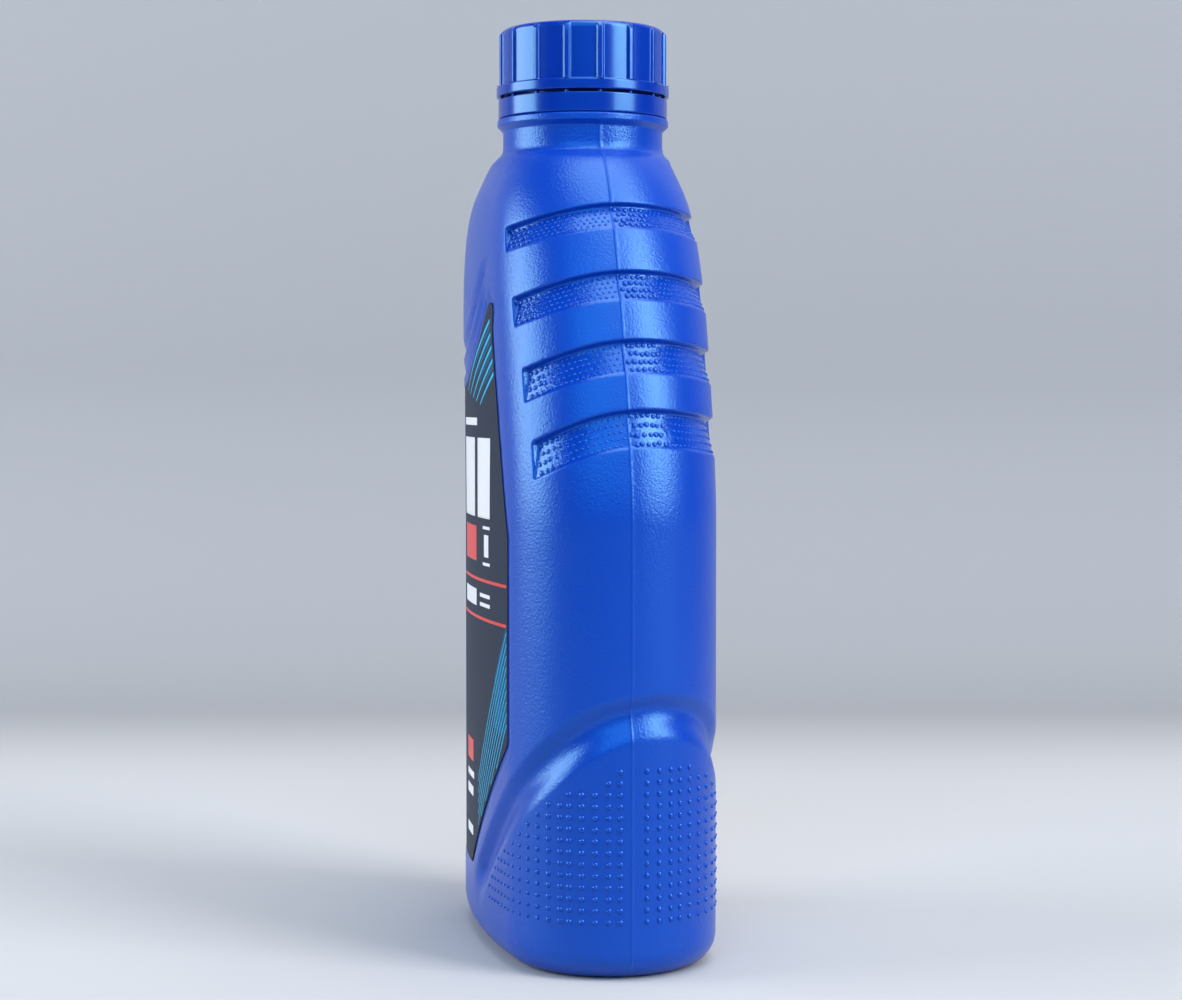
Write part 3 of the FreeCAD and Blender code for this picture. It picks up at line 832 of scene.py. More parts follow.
def wall_columns() -> Array:
    """Angles of the wall's columns, dense at the grip side, its groove ends and the ridge.

    Returns:
        Rising angles from minus pi up to but not at pi.
    """
    turn = BOTTLE.corner_angle
    near_ridge = NEAR_RIDGE / END_RADIUS
    at_end = np.linspace(-GROOVE_END_MARGIN, GROOVES.end_width + GROOVE_END_MARGIN,
                         GROOVE_END_COLUMNS) / END_RADIUS
    grip = np.unique(np.round(np.concatenate([
        spaced(-turn, turn, GRIP_STEP / END_RADIUS),
        *(groove.front + at_end for groove in GRIP_GROOVES),
        near_ridge,
    ]), ANGLE_DIGITS))
    grip = grip[np.concatenate([[True], np.diff(grip) > LEAST_STEP / END_RADIUS])]
    front = spaced(-math.pi + turn, -turn, FRONT_STEP / CROWN_RADIUS)
    back = spaced(turn, math.pi - turn, BACK_STEP / CROWN_RADIUS)
    far_left = spaced(-math.pi + near_ridge[-1], -math.pi + turn, FAR_STEP / END_RADIUS)
    far_right = spaced(math.pi - turn, math.pi - near_ridge[-1], FAR_STEP / END_RADIUS)
    far_ridge = np.concatenate([-math.pi + near_ridge[RIDGE_MIDDLE:-1],
                                math.pi + near_ridge[:RIDGE_MIDDLE]])
    return np.unique(np.concatenate([far_ridge, far_left, front, grip, back, far_right]))


def wall_rows(angle: Array) -> Array:
    """Heights of the wall's rows over each column, which follow the relief's edges.

    Rows are shared out evenly between guide lines: the foot's rounding, both edges of the
    channel, both edges of every groove, and the neck's base.

    Args:
        angle: Angles of the columns.

    Returns:
        Heights (rows, columns).
    """
    length = wall_length(angle)
    centre = channel_centre(length)
    slope = 1.0 / math.cos(CHANNEL.fall)
    low = np.maximum(centre - CHANNEL.below * slope, BOTTLE.base_rounding + LEAST_FOOT)
    high = np.maximum(centre + CHANNEL.above * slope, low + LEAST_CHANNEL)
    turns = np.linspace(0.0, math.pi / 2, FOOT_STEPS + 1)[1:-1, None]
    foot = BOTTLE.base_rounding * (1 - np.cos(turns)) + 0.0 * angle
    guides = [(np.full_like(angle, BOTTLE.base_rounding), FOOT_ROWS), (low, CHANNEL_ROWS),
              (high, BODY_ROWS)]
    for groove in GRIP_GROOVES:
        top = groove.top(angle)
        guides += [(top - groove.height + offset, rows) for offset, rows in LOWER_GUIDES]
        guides += [(top + offset, rows) for offset, rows in UPPER_GUIDES]
    guides[-1] = (guides[-1][0], SHOULDER_ROWS)
    guides.append((np.full_like(angle, BOTTLE.neck_base), 0))
    blocks = [0.0 * angle[None, :], foot]
    for (start, rows), (stop, _) in zip(guides[:-1], guides[1:]):
        share = np.linspace(0.0, 1.0, rows, endpoint=False)[:, None]
        blocks.append(start + (stop - start) * share)
    return np.concatenate(blocks)


# Turned forms

FLAT_KEEPER = 0.25
ROW_MARGIN = 0.6


def rounded_corners(points: Sequence[tuple[float, float, float]], steps: int = 4) -> Array:
    """Line of (radius, height) points whose corners are rounded by arcs.

    Each arc touches both lines at the same distance from its corner. A point close before and
    after each arc keeps the flats flat when they are shaded.

    Args:
        points: Corners, as (radius, height, rounding).
        steps: Points in each arc, less one.

    Returns:
        Points (n, 2).
    """
    places = np.array(points, float)[:, :2]
    line = [places[0]]
    for before, place, after, (_, _, rounding) in zip(places, places[1:], places[2:],
                                                      points[1:]):
        if rounding <= 0:
            line.append(place)
            continue
        back = (before - place) / np.linalg.norm(before - place)
        ahead = (after - place) / np.linalg.norm(after - place)
        half = math.acos(float(np.clip(back @ ahead, -1, 1))) / 2
        touch = rounding / math.tan(half)
        centre = place + (back + ahead) / np.linalg.norm(back + ahead) * rounding / math.sin(half)
        first, last = place + back * touch, place + ahead * touch
        start, stop = first - centre, last - centre
        turn = math.atan2(start[0] * stop[1] - start[1] * stop[0], start @ stop)
        line.append(first + back * rounding * FLAT_KEEPER)
        for step in range(steps + 1):
            angle = turn * step / steps
            cosine, sine = math.cos(angle), math.sin(angle)
            line.append(centre + np.array((start[0] * cosine - start[1] * sine,
                                           start[0] * sine + start[1] * cosine)))
        line.append(last + ahead * rounding * FLAT_KEEPER)
    line.append(places[-1])
    return np.array(line)


def with_rows(line: Array, low: float, high: float, step: float) -> Array:
    """Add even rows to the upright part of a line between two heights.

    Args:
        line: Points (n, 2).
        low: Lower height.
        high: Upper height.
        step: Largest distance between rows.

    Returns:
        The line with more points.
    """
    rows = [line[:1]]
    for start, stop in zip(line[:-1], line[1:]):
        heights = sorted((start[1], stop[1]))
        rise = heights[1] - heights[0]
        inside = heights[0] >= low - ROW_MARGIN and heights[1] <= high + ROW_MARGIN
        if inside and rise > step:
            share = np.linspace(0.0, 1.0, math.ceil(rise / step) + 1)[1:, None]
            rows.append(start + (stop - start) * share)
        else:
            rows.append(stop[None, :])
    return np.concatenate(rows)


def turn_line(line: Array, angle: Array,
              outward: Callable[[Array, Array], Array] | None = None) -> Array:
    """Points of a line turned round Z, moved outwards by an amount for each angle and row.

    Args:
        line: Points (n, 2) of radius and height.
        angle: Angles (m,).
        outward: Amount for (angle, height) arrays, or nothing for a plain form.

    Returns:
        Points (n, m, 3).
    """
    turn, height = np.broadcast_arrays(angle[None, :], line[:, 1:2])
    radius = line[:, 0:1] + (0.0 if outward is None else outward(turn, height))
    return np.stack([radius * np.cos(turn), radius * np.sin(turn), height], axis=-1)


@dataclass(frozen=True)
class Thread:
    """Single-start thread on a turned wall, right-handed."""

    foot: float
    depth: float
    pitch: float = 4.2
    root: float = 2.0
    crest: float = 0.9
    turns: float = 1.5
    softness: float = 0.12
    fade: float = 0.06
    profile: SoftProfile = field(init=False)

    def __post_init__(self) -> None:
        """Make the thread's rounded section."""
        knots = [(-self.root / 2, 0.0), (-self.crest / 2, self.depth),
                 (self.crest / 2, self.depth), (self.root / 2, 0.0)]
        object.__setattr__(self, "profile", SoftProfile(knots, self.softness))

    def height_out(self, angle: Array, height: Array) -> Array:
        """How far the thread stands out: its section round a line that climbs with the angle.

        Args:
            angle: Angles round Z.
            height: Heights.

        Returns:
            Amounts, fading at the thread's ends.
        """
        out = np.zeros(np.broadcast(angle, height).shape)
        for lap in range(math.ceil(self.turns) + 1):
            turns = np.mod(angle, TAU) / TAU + lap
            middle = self.foot + self.root / 2 + self.pitch * turns
            ends = smooth_step(turns / self.fade) * smooth_step((self.turns - turns) / self.fade)
            out = np.maximum(out, self.profile(height - middle) * ends)
        return out


NECK_THREAD = Thread(foot=227.3, depth=1.1)
CAP_THREAD = Thread(foot=225.2, depth=1.1)
COVE_STEPS = 5
NECK_FOOT = 209.6
THREAD_ZONE = (225.0, 237.0)
THREAD_ROW = 0.42
THREAD_MARGIN = 0.4


def neck_line() -> Array:
    """Outline of the neck from the shoulder's top to the mouth and down the bore.

    Returns:
        Points (n, 2) of radius and height.
    """
    turn = np.linspace(0.0, math.pi / 2, COVE_STEPS + 1)[1:]
    cove = np.stack([BOTTLE.neck_radius + BOTTLE.cove_width * (1 - np.sin(turn)),
                     BOTTLE.neck_base + BOTTLE.cove_height * (1 - np.cos(turn))], axis=1)
    chamfer = BOTTLE.bead_chamfer
    upper = rounded_corners([
        (BOTTLE.neck_radius, NECK_FOOT, 0.0),
        (BOTTLE.neck_radius, BOTTLE.bead_foot - chamfer, 0.5),
        (BOTTLE.bead_radius, BOTTLE.bead_foot + chamfer, 0.5),
        (BOTTLE.bead_radius, BOTTLE.bead_top - chamfer / 2, 0.3),
        (BOTTLE.bead_radius - chamfer, BOTTLE.bead_top, 0.3),
        (BOTTLE.finish_radius, BOTTLE.bead_top, 0.2),
        (BOTTLE.finish_radius, BOTTLE.locking_foot, 0.2),
        (BOTTLE.locking_radius, BOTTLE.locking_foot, 0.2),
        (BOTTLE.finish_radius, BOTTLE.locking_foot + BOTTLE.locking_height, 0.2),
        (BOTTLE.finish_radius, NECK_THREAD.foot - THREAD_MARGIN, 0.0),
        (BOTTLE.finish_radius, BOTTLE.mouth, 0.35),
        (BOTTLE.bore_radius, BOTTLE.mouth, 0.35),
        (BOTTLE.bore_radius, BOTTLE.bead_foot, 0.0),
    ])
    return with_rows(np.concatenate([cove, upper]), *THREAD_ZONE, THREAD_ROW)


@dataclass(frozen=True)
class Clearance:
    """Where the inner wall stands further in, to keep clear of the grooves and the channel."""

    groove_angle: float = 1.75
    groove_turn: float = 0.2
    groove_foot: float = 112.0
    groove_foot_fade: float = 6.0
    groove_top: float = 197.0
    groove_top_fade: float = 4.0
    channel_depth: float = 2.3
    channel_reach: float = 16.9
    channel_fade: float = 3.9
    leg_more: float = 22.0
    leg_fade: float = 4.0
    neck_fade: float = 4.0


CLEARANCE = Clearance()


def inner_wall_point(angle: Array, height: Array, gap: float = 0.0) -> Array:
    """Points of the bottle's inner wall, kept clear of all the relief.

    Args:
        angle: Angles of outward direction.
        height: Heights.
        gap: How far inside the inner wall the points lie.

    Returns:
        Points (..., 3).
    """
    angle, height = np.broadcast_arrays(angle, height)
    room = CLEARANCE
    grooves = (smooth_step((room.groove_angle - np.abs(angle)) / room.groove_turn)
               * smooth_step((height - room.groove_foot) / room.groove_foot_fade)
               * smooth_step((room.groove_top - height) / room.groove_top_fade))
    length = wall_length(angle)
    apart = np.abs(height - channel_centre(length))
    past_leg = np.abs(length - CHANNEL.offset) - CHANNEL.leg
    channel = (smooth_step((room.channel_reach - apart) / room.channel_fade)
               * smooth_step((room.leg_more - past_leg) / room.leg_fade))
    relief = LABEL.panel_depth + GROOVES.depth * grooves + room.channel_depth * channel
    relief = relief * smooth_step((BOTTLE.neck_base - height) / room.neck_fade)
    rounding = BOTTLE.base_rounding - BOTTLE.wall
    below = np.clip(BOTTLE.base_rounding - height, 0.0, rounding)
    inset = BOTTLE.wall + relief + rounding - np.sqrt(rounding ** 2 - below ** 2)
    x, y = Oval(height + BOTTLE.wall + gap, inset + gap).point(angle)
    return np.stack([x, y, np.maximum(height, BOTTLE.wall + gap)], axis=-1)


HOLLOW_TOP = BOTTLE.neck_base - BOTTLE.wall
HOLLOW_SHOULDER = 94.0
SHOULDER_RINGS = 26
BODY_RINGS = (108.0, 8.0, 21)
ROUNDING_RINGS = (math.pi / 2 - 0.2, 0.0, 7)
BORE_FOOT = BOTTLE.neck_radius - BOTTLE.wall
BORE_RINGS = np.array([(BORE_FOOT, HOLLOW_TOP + 2.6), (BORE_FOOT, HOLLOW_TOP + 0.6)])
INNER_HEIGHTS = np.concatenate([
    HOLLOW_TOP - HOLLOW_SHOULDER * (1 - np.cos(np.linspace(0.0, math.pi / 2, SHOULDER_RINGS))),
    np.linspace(*BODY_RINGS),
    BOTTLE.wall + (BOTTLE.base_rounding - BOTTLE.wall) * (1 - np.cos(np.linspace(*ROUNDING_RINGS))),
])

# Rings of the inner floor and of the foot: distance inside the outline, height

FLOOR_RINGS = ((10.6, BOTTLE.wall), (14.4, BOTTLE.recess_depth + BOTTLE.wall))
FOOT_RINGS = (
    (BOTTLE.recess_inset + BOTTLE.recess_draft + 1.0, BOTTLE.recess_depth),
    (BOTTLE.recess_inset + BOTTLE.recess_draft, BOTTLE.recess_depth - 0.04),
    (BOTTLE.recess_inset + BOTTLE.recess_draft - 0.6, BOTTLE.recess_depth - 0.3),
    (BOTTLE.recess_inset + 0.5, 0.35),
    (BOTTLE.recess_inset, 0.06),
    (BOTTLE.recess_inset - 0.6, 0.0),
)

OIL_LEVEL = 188.0
OIL_GAP = 0.05
OIL_TOP_ROW = 0.5
LINE_FADE = 1.2
RIM_WIDTH = 0.36
NECK_COLUMNS = 96
NEAR_LINE = 4


def level_rings(angle: Array, rings: Sequence[tuple[float, float]]) -> Array:
    """Level rings that lie inside the outline of the foot.

    Args:
        angle: Angles of outward direction.
        rings: Distance inside the outline and height of each ring.

    Returns:
        Points (rings, columns, 3).
    """
    inset, height = np.array(rings).T[:, :, None]
    x, y = Oval(np.zeros_like(inset), inset).point(angle)
    return np.stack([x, y, np.broadcast_to(height, x.shape)], axis=-1)


def kept_columns(angle: Array) -> Array:
    """Positions of the wall's columns that the neck and the inner wall share.

    Args:
        angle: Angles of the wall's columns.

    Returns:
        Positions, rising.
    """
    wanted = np.linspace(-math.pi, math.pi, NECK_COLUMNS, endpoint=False)
    middle = int(np.argmin(np.abs(angle)))
    near = np.abs(angle[None, :] - wanted[:, None]).argmin(axis=1)
    return np.unique(np.concatenate([near, np.arange(middle - NEAR_LINE, middle + NEAR_LINE + 1),
                                     np.arange(1 - NEAR_LINE, NEAR_LINE) % len(angle)]))


def build_oil() -> bpy.types.Object:
    """Oil that fills the hollow up to its level, just clear of the inner wall.

    Returns:
        The oil.
    """
    columns = wall_columns()
    angle = columns[kept_columns(columns)]
    heights = np.append(OIL_LEVEL, INNER_HEIGHTS[INNER_HEIGHTS < OIL_LEVEL - OIL_TOP_ROW])
    walls = inner_wall_point(angle[None, :], heights[:, None], OIL_GAP)
    floor = level_rings(angle, [(inset + OIL_GAP, height + OIL_GAP)
                                for inset, height in FLOOR_RINGS])
    parts = MeshParts()
    rows = parts.add_tube(np.concatenate([walls, floor])[::-1])
    parts.add_cap(rows[0], upwards=False)
    parts.add_cap(rows[-1], upwards=True)
    return parts.make("oil_body")


def build_bottle() -> bpy.types.Object:
    """Blown bottle as one closed shell: wall, foot, neck with thread, bore and inner wall.

    Returns:
        The bottle.
    """
    parts = MeshParts()
    angle = wall_columns()
    heights = wall_rows(angle)
    wall = parts.add_tube(wall_point(angle[None, :], heights))

    kept = kept_columns(angle)
    neck_angle = angle[kept]

    def neck_relief(turn: Array, height: Array) -> Array:
        """Thread outside the bore, and the parting line on the plain neck.

        Args:
            turn: Angles round Z.
            height: Heights.

        Returns:
            How far they stand out.
        """
        size = np.abs(turn)
        on_neck = smooth_step((BOTTLE.bead_foot - height) / LINE_FADE + 0.5)
        parting = (ridge(size * BOTTLE.neck_radius)
                   + ridge((math.pi - size) * BOTTLE.neck_radius))
        outside = np.arange(len(height))[:, None] < bore_row
        return outside * (NECK_THREAD.height_out(turn, height) + on_neck * parting)

    line = neck_line()
    bore_row = int(np.argmax(line[:, 0] < BOTTLE.finish_radius - RIM_WIDTH))
    neck = parts.add_points(turn_line(line, neck_angle, neck_relief))
    parts.add_stitch(wall[-1], kept, neck[0], above=True)
    parts.add_sheet(neck, closed=True)

    inner_rows = parts.add_points(np.concatenate([
        turn_line(BORE_RINGS, neck_angle),
        inner_wall_point(neck_angle[None, :], INNER_HEIGHTS[:, None]),
        level_rings(neck_angle, FLOOR_RINGS),
    ]))
    parts.add_sheet(np.concatenate([neck[-1:], inner_rows]), closed=True)
    parts.add_cap(inner_rows[-1], upwards=True)

    under = parts.add_points(level_rings(angle, FOOT_RINGS))
    parts.add_sheet(np.concatenate([under, wall[:1]]), closed=True)
    parts.add_cap(under[0], upwards=False)
    shell = parts.make("bottle_shell")
    polish = np.zeros(len(shell.data.vertices), np.float32)
    polish[wall] = groove_polish(angle[None, :], heights)
    shell.data.attributes.new("polish", "FLOAT", "POINT").data.foreach_set("value", polish)
    return shell


# Moulded dots


@dataclass(frozen=True)
class Dot:
    """A low round bump."""

    radius: float
    height: float
    around: int
    rings: int


DOT_SINK = 0.12
GROOVE_DOT = Dot(0.72, 0.42, 8, 3)
FOOT_DOT = Dot(0.78, 0.54, 10, 3)

# Columns of dots on the foot: degrees from the grip side, height of the highest dot

FOOT_COLUMNS = ((8, 52.2), (15, 52.2), (22, 52.3), (28, 52.2), (35, 51.9), (43, 49.2), (51, 49.0),
                (60, 45.5), (68, 43.0), (76, 41.0), (-6, 51.7), (-12, 49.0), (-19, 48.0),
                (-26, 46.2), (-33, 46.0), (-38, 44.9), (-45, 42.6), (-52, 40.3), (-59, 37.9),
                (-66, 35.5), (-73, 33.2), (-79, 30.5))
FOOT_FULL = math.radians(40.0)
FOOT_SHRINK = math.radians(35.0)
FOOT_PITCH = 2.85
FOOT_LOWEST = 14.8
FACE_COLUMNS = 6
FACE_START = 0.4
FACE_CLEAR = 10.0
FACE_SHRINK = 0.4
FRAME_STEP = 0.25


def wall_frames(angle: Array, height: Array) -> tuple[Array, Array, Array, Array]:
    """Points of the wall with their outward, level and upward directions.

    The directions come from the differences to points close beside and above.

    Args:
        angle: Angles of outward direction (n,).
        height: Heights (n,).

    Returns:
        Points, outward, level and upward unit vectors, each (n, 3).
    """
    step = FRAME_STEP
    turn = step / END_RADIUS
    point = wall_point(angle, height)
    level = wall_point(angle + turn, height) - wall_point(angle - turn, height)
    upward = wall_point(angle, height + step) - wall_point(angle, height - step)
    level /= np.linalg.norm(level, axis=1, keepdims=True)
    outward = np.cross(level, upward)
    outward /= np.linalg.norm(outward, axis=1, keepdims=True)
    return point, outward, level, np.cross(outward, level)


def build_dots(name: str, dot: Dot, angle: Array, height: Array,
               scale: Array) -> bpy.types.Object:
    """Dots on the wall, all in one mesh.

    Each is a flattened dome: rings whose radius is the cosine and whose height is the sine of
    an angle, closed by a floor sunk into the wall.

    Args:
        name: Name of the object.
        dot: Form of one dot.
        angle: Angles of outward direction (n,).
        height: Heights (n,).
        scale: Sizes of the dots as shares of the full one (n,).

    Returns:
        The dots.
    """
    point, outward, level, upward = wall_frames(angle, height)
    level = level * scale[:, None]
    upward = upward * scale[:, None]
    rise = np.linspace(0.0, math.pi / 2, dot.rings + 1)[:-1]
    around = even_turns(dot.around)
    ring_radius = dot.radius * np.concatenate([[1.0], np.cos(rise)])
    ring_height = np.concatenate([[-DOT_SINK], dot.height * np.sin(rise)])
    local_x = ring_radius[:, None] * np.cos(around)
    local_y = ring_radius[:, None] * np.sin(around)
    domes = (point[:, None, None, :]
             + local_x[None, :, :, None] * level[:, None, None, :]
             + local_y[None, :, :, None] * upward[:, None, None, :]
             + ring_height[None, :, None, None] * (outward * scale[:, None])[:, None, None, :])
    parts = MeshParts()
    rings = parts.add_tube(domes)
    tips = parts.add_points(point + outward * (dot.height * scale)[:, None])
    last = rings[:, -1]
    top = np.stack([last, np.roll(last, -1, axis=1), np.broadcast_to(tips[:, None], last.shape)],
                   axis=-1)
    parts.add_faces(top.reshape(-1, 3))
    parts.add_faces(rings[:, 0, ::-1])
    return parts.make(name)


@dataclass(frozen=True)
class DotZone:
    """Dots of one size on a stretch of a groove's floor."""

    pitch: float
    rows: int
    scale: float
    uneven: float


COARSE_DOTS = DotZone(1.7, 4, 1.0, 0.12)
FINE_DOTS = DotZone(1.5, 5, 0.55, 0.05)
COARSE_FRONT = 7.0
COARSE_BACK = 9.5
DOT_MARGIN = 0.7
DOT_TOP = 1.35
DOT_FOOT = 1.1
DOT_START = 0.4
DOT_SHIFT = 0.25
DOT_SIZES = 0.6
DOT_SEED = 7


def groove_dot_places() -> tuple[Array, Array, Array]:
    """Places of the dots in the grooves, coarse at the front end and behind the parting line.

    Returns:
        Angles, heights and sizes.
    """
    chance = np.random.default_rng(DOT_SEED)
    angles, heights, scales = [], [], []
    for groove in GRIP_GROOVES:
        front = groove.front * groove.end_radius + GROOVES.end_width + DOT_START
        back = BOTTLE.corner_angle * groove.end_radius
        stretches = ((COARSE_DOTS, front, front + COARSE_FRONT),
                     (FINE_DOTS, front + COARSE_FRONT, -DOT_MARGIN),
                     (COARSE_DOTS, DOT_MARGIN, DOT_MARGIN + COARSE_BACK),
                     (FINE_DOTS, DOT_MARGIN + COARSE_BACK, back))
        room = groove.height - DOT_TOP - DOT_FOOT
        for zone, start, stop in stretches:
            count = max(2, round((stop - start) / zone.pitch))
            columns = start + (np.arange(count) + 0.5) * (stop - start) / count
            for row in range(zone.rows):
                shift = (DOT_SHIFT if row % 2 else -DOT_SHIFT) * zone.pitch
                place = columns + shift + chance.normal(0.0, zone.uneven, count)
                turned = place / groove.end_radius
                below = (DOT_TOP + room * row / (zone.rows - 1)
                         + chance.normal(0.0, zone.uneven, count))
                angles.append(turned)
                heights.append(groove.top(turned) - below)
                uneven = chance.normal(0.0, zone.uneven, count) * DOT_SIZES
                scales.append(zone.scale * (1.0 + uneven))
    return np.concatenate(angles), np.concatenate(heights), np.concatenate(scales)


def foot_dot_places() -> tuple[Array, Array, Array]:
    """Places of the dots on the foot: upright columns that end under the channel.

    Returns:
        Angles, heights and sizes, which shrink towards both faces.
    """
    columns = [(math.radians(degrees), top) for degrees, top in FOOT_COLUMNS]
    for number in range(FACE_COLUMNS):
        for side in Face:
            beyond = (number + FACE_START) * FOOT_PITCH
            edge = channel_centre(np.array(side.value * (CORNER_LENGTH + beyond)))
            turn = BOTTLE.corner_angle + beyond / CROWN_RADIUS
            columns.append((side.value * turn, float(edge) - FACE_CLEAR))
    angles, heights = [], []
    for angle, top in columns:
        column = np.arange(FOOT_LOWEST, top + FOOT_PITCH / 3, FOOT_PITCH)
        angles.append(np.full_like(column, angle))
        heights.append(column)
    turned = np.concatenate(angles)
    towards_face = smooth_step((np.abs(turned) - FOOT_FULL) / FOOT_SHRINK)
    return turned, np.concatenate(heights), 1.0 - FACE_SHRINK * towards_face


# Labels


def bent_points(face: Face, x: Array, height: Array, inset: float) -> Array:
    """Points on one broad face of the bottle, moved inwards from its wall.

    Args:
        face: Which face.
        x: Places across.
        height: Heights.
        inset: Distance under the wall.

    Returns:
        Points (..., 3).
    """
    oval = Oval(height, inset)
    x_out, y_out = oval.point(oval.angle_at(x))
    return np.stack([x_out, y_out * face.value, height], axis=-1)


def add_film(parts: MeshParts, face: Face, chains: Array, rows: int,
             outer: float, inner: float) -> None:
    """Add a thin closed film that lies along one face.

    Between its lower and upper edge the rows share the height evenly.

    Args:
        parts: Mesh that gets the film.
        face: Which face.
        chains: Array (columns, 3) of x, lower z and upper z.
        rows: Number of rows.
        outer: Inset of the outer surface.
        inner: Inset of the inner surface.
    """
    x, low, high = chains.T
    share = np.linspace(0.0, 1.0, rows)[:, None]
    heights = low + (high - low) * share
    across = np.broadcast_to(x, heights.shape)
    near = parts.add_points(bent_points(face, across, heights, outer))
    far = parts.add_points(bent_points(face, across, heights, inner))
    if face is Face.BACK:
        near, far = near[:, ::-1], far[:, ::-1]
    parts.add_sheet(near)
    parts.add_sheet(far[:, ::-1])
    rims = [np.concatenate([grid[0], grid[1:-1, -1], grid[-1, ::-1], grid[1:-1, 0][::-1]])
            for grid in (far, near)]
    parts.add_sheet(np.stack(rims), closed=True)


@dataclass(frozen=True)
class Field:
    """A field of plain colour printed on a label."""

    finish: str
    corners: tuple[tuple[float, float], ...]


def bar(finish: str, left: float, right: float, low: float, high: float) -> Field:
    """Upright rectangle of one colour.

    Args:
        finish: Name of the finish.
        left: Left edge.
        right: Right edge.
        low: Lower edge.
        high: Upper edge.

    Returns:
        The field.
    """
    return Field(finish, ((left, low), (right, low), (right, high), (left, high)))


FILM_GRID = (90, 110)
PRINT_GRID = (24, 30)
PRINT_LIFT = (0.03, 0.01)
PRINT_CORNER = 0.15
PRINT_LEFT = -24.0
PRINT_RIGHT = 35.3
STRIPE_TOP = 84.0
STRIPE_LEFT = 5.0
STRIPE_SLOPE = 1.387
STRIPE_PITCH = 2.9
STRIPE_WIDTH = 0.7
SHADE_WIDTH = 1.5
STRIPE_COUNT = 9
SHADE_SHARE = 0.35
EDGE_SLOPE = 37.0 / 42.0
EDGE_BASE = 25.2
STREAK_TIP = (17.5, 163.5)
STREAK_STEP = (1.2, -3.4)
STREAK_SLOPE = 0.62


def stripe(finish: str, number: int, raised: float, width: float, share: float) -> Field:
    """One slanted stripe beside the front label's slanted foot.

    The whole stripe runs from the foot's edge up to the right edge.

    Args:
        finish: Name of the finish.
        number: Which stripe, from the highest.
        raised: How far the stripe lies above the plain place.
        width: Its width, measured upwards.
        share: Part of its length, from the right edge.

    Returns:
        The field.
    """
    high = STRIPE_TOP - STRIPE_PITCH * number
    crossing = (high - STRIPE_SLOPE * PRINT_RIGHT - EDGE_BASE) / (EDGE_SLOPE - STRIPE_SLOPE)
    left = PRINT_RIGHT - (PRINT_RIGHT - max(crossing, STRIPE_LEFT)) * share
    high += raised
    low = high - STRIPE_SLOPE * (PRINT_RIGHT - left)
    return Field(finish, ((left, low), (PRINT_RIGHT, high), (PRINT_RIGHT, high + width),
                          (left, low + width)))


def streak(finish: str, number: int, width: float, length: float) -> Field:
    """One streak that runs down to the left from the front label's tip.

    Args:
        finish: Name of the finish.
        number: Which streak, from the highest.
        width: Its width, measured upwards.
        length: Its length across the label.

    Returns:
        The field.
    """
    right, high = (tip + step * number for tip, step in zip(STREAK_TIP, STREAK_STEP))
    left = right - length
    low = high - STREAK_SLOPE * length
    return Field(finish, ((left, low), (right, high - width), (right, high),
                          (left, low + width / 2)))


FRONT_FIELDS = (
    *(stripe("print_cyan", number, 0.0, STRIPE_WIDTH, 1.0) for number in range(STRIPE_COUNT)),
    *(stripe("print_teal", number, STRIPE_WIDTH + 0.1, SHADE_WIDTH, SHADE_SHARE)
      for number in range(STRIPE_COUNT)),
    *(streak("print_cyan", number, 1.1, 30.0 - 4.0 * number) for number in range(5)),
    *(streak("print_teal", number + 0.45, 1.3, 18.0 - 3.0 * number) for number in range(4)),
    bar("print_red", PRINT_LEFT, PRINT_RIGHT, 95.4, 96.2),
    bar("print_red", PRINT_LEFT, PRINT_RIGHT, 85.4, 86.2),
    bar("print_white", 5.0, 20.0, 112.0, 132.8),
    bar("print_white", -22.0, 0.5, 112.0, 132.8),
    bar("print_red", -20.0, 3.0, 100.4, 109.6),
    bar("print_white", 12.0, 20.0, 109.2, 110.0),
    bar("print_white", 12.0, 20.0, 99.8, 100.6),
    bar("print_white", 13.5, 18.5, 102.0, 107.8),
    bar("print_white", -20.0, 3.0, 88.6, 93.0),
    bar("print_white", 8.0, 20.0, 89.0, 90.0),
    bar("print_white", 8.0, 20.0, 91.4, 92.4),
    bar("print_white", -22.0, 4.0, 136.0, 138.0),
    bar("print_red", -16.0, -3.0, 46.4, 52.2),
    bar("print_white", -16.0, -2.0, 41.8, 43.6),
    bar("print_white", -16.0, -3.4, 37.0, 39.6),
    bar("print_white", -16.0, -4.0, 26.4, 29.0),
)
BACK_FIELDS = (
    bar("print_white", -24.0, 31.0, 98.0, 103.0),
    bar("print_white", -24.0, 5.0, 72.0, 92.0),
    bar("print_white", 9.0, 31.0, 72.0, 92.0),
    bar("print_cyan", -24.0, 15.0, 60.0, 62.0),
    bar("print_white", -24.0, -6.0, 36.0, 52.0),
)


def build_label(name: str, face: Face, outline: Array) -> bpy.types.Object:
    """A label's film.

    Args:
        name: Name of the object.
        face: Which face it lies on.
        outline: Corners of the label.

    Returns:
        The label.
    """
    parts = MeshParts()
    columns, rows = FILM_GRID
    chains = rounded_chains(outline, LABEL.corner, columns)
    add_film(parts, face, chains, rows, LABEL.outer_inset, LABEL.inner_inset)
    return parts.make(name)


def build_print(name: str, face: Face, fields: Sequence[Field], finish: str) -> bpy.types.Object:
    """All printed fields of one colour on a label.

    Args:
        name: Name of the object.
        face: Which face the label lies on.
        fields: The label's fields.
        finish: Colour that is wanted.

    Returns:
        The fields.
    """
    parts = MeshParts()
    columns, rows = PRINT_GRID
    outer, inner = (LABEL.outer_inset - lift for lift in PRINT_LIFT)
    for item in fields:
        if item.finish == finish:
            chains = rounded_chains(np.array(item.corners), PRINT_CORNER, columns)
            add_film(parts, face, chains, rows, outer, inner)
    return parts.make(name)


# Cap, band, wad and foil


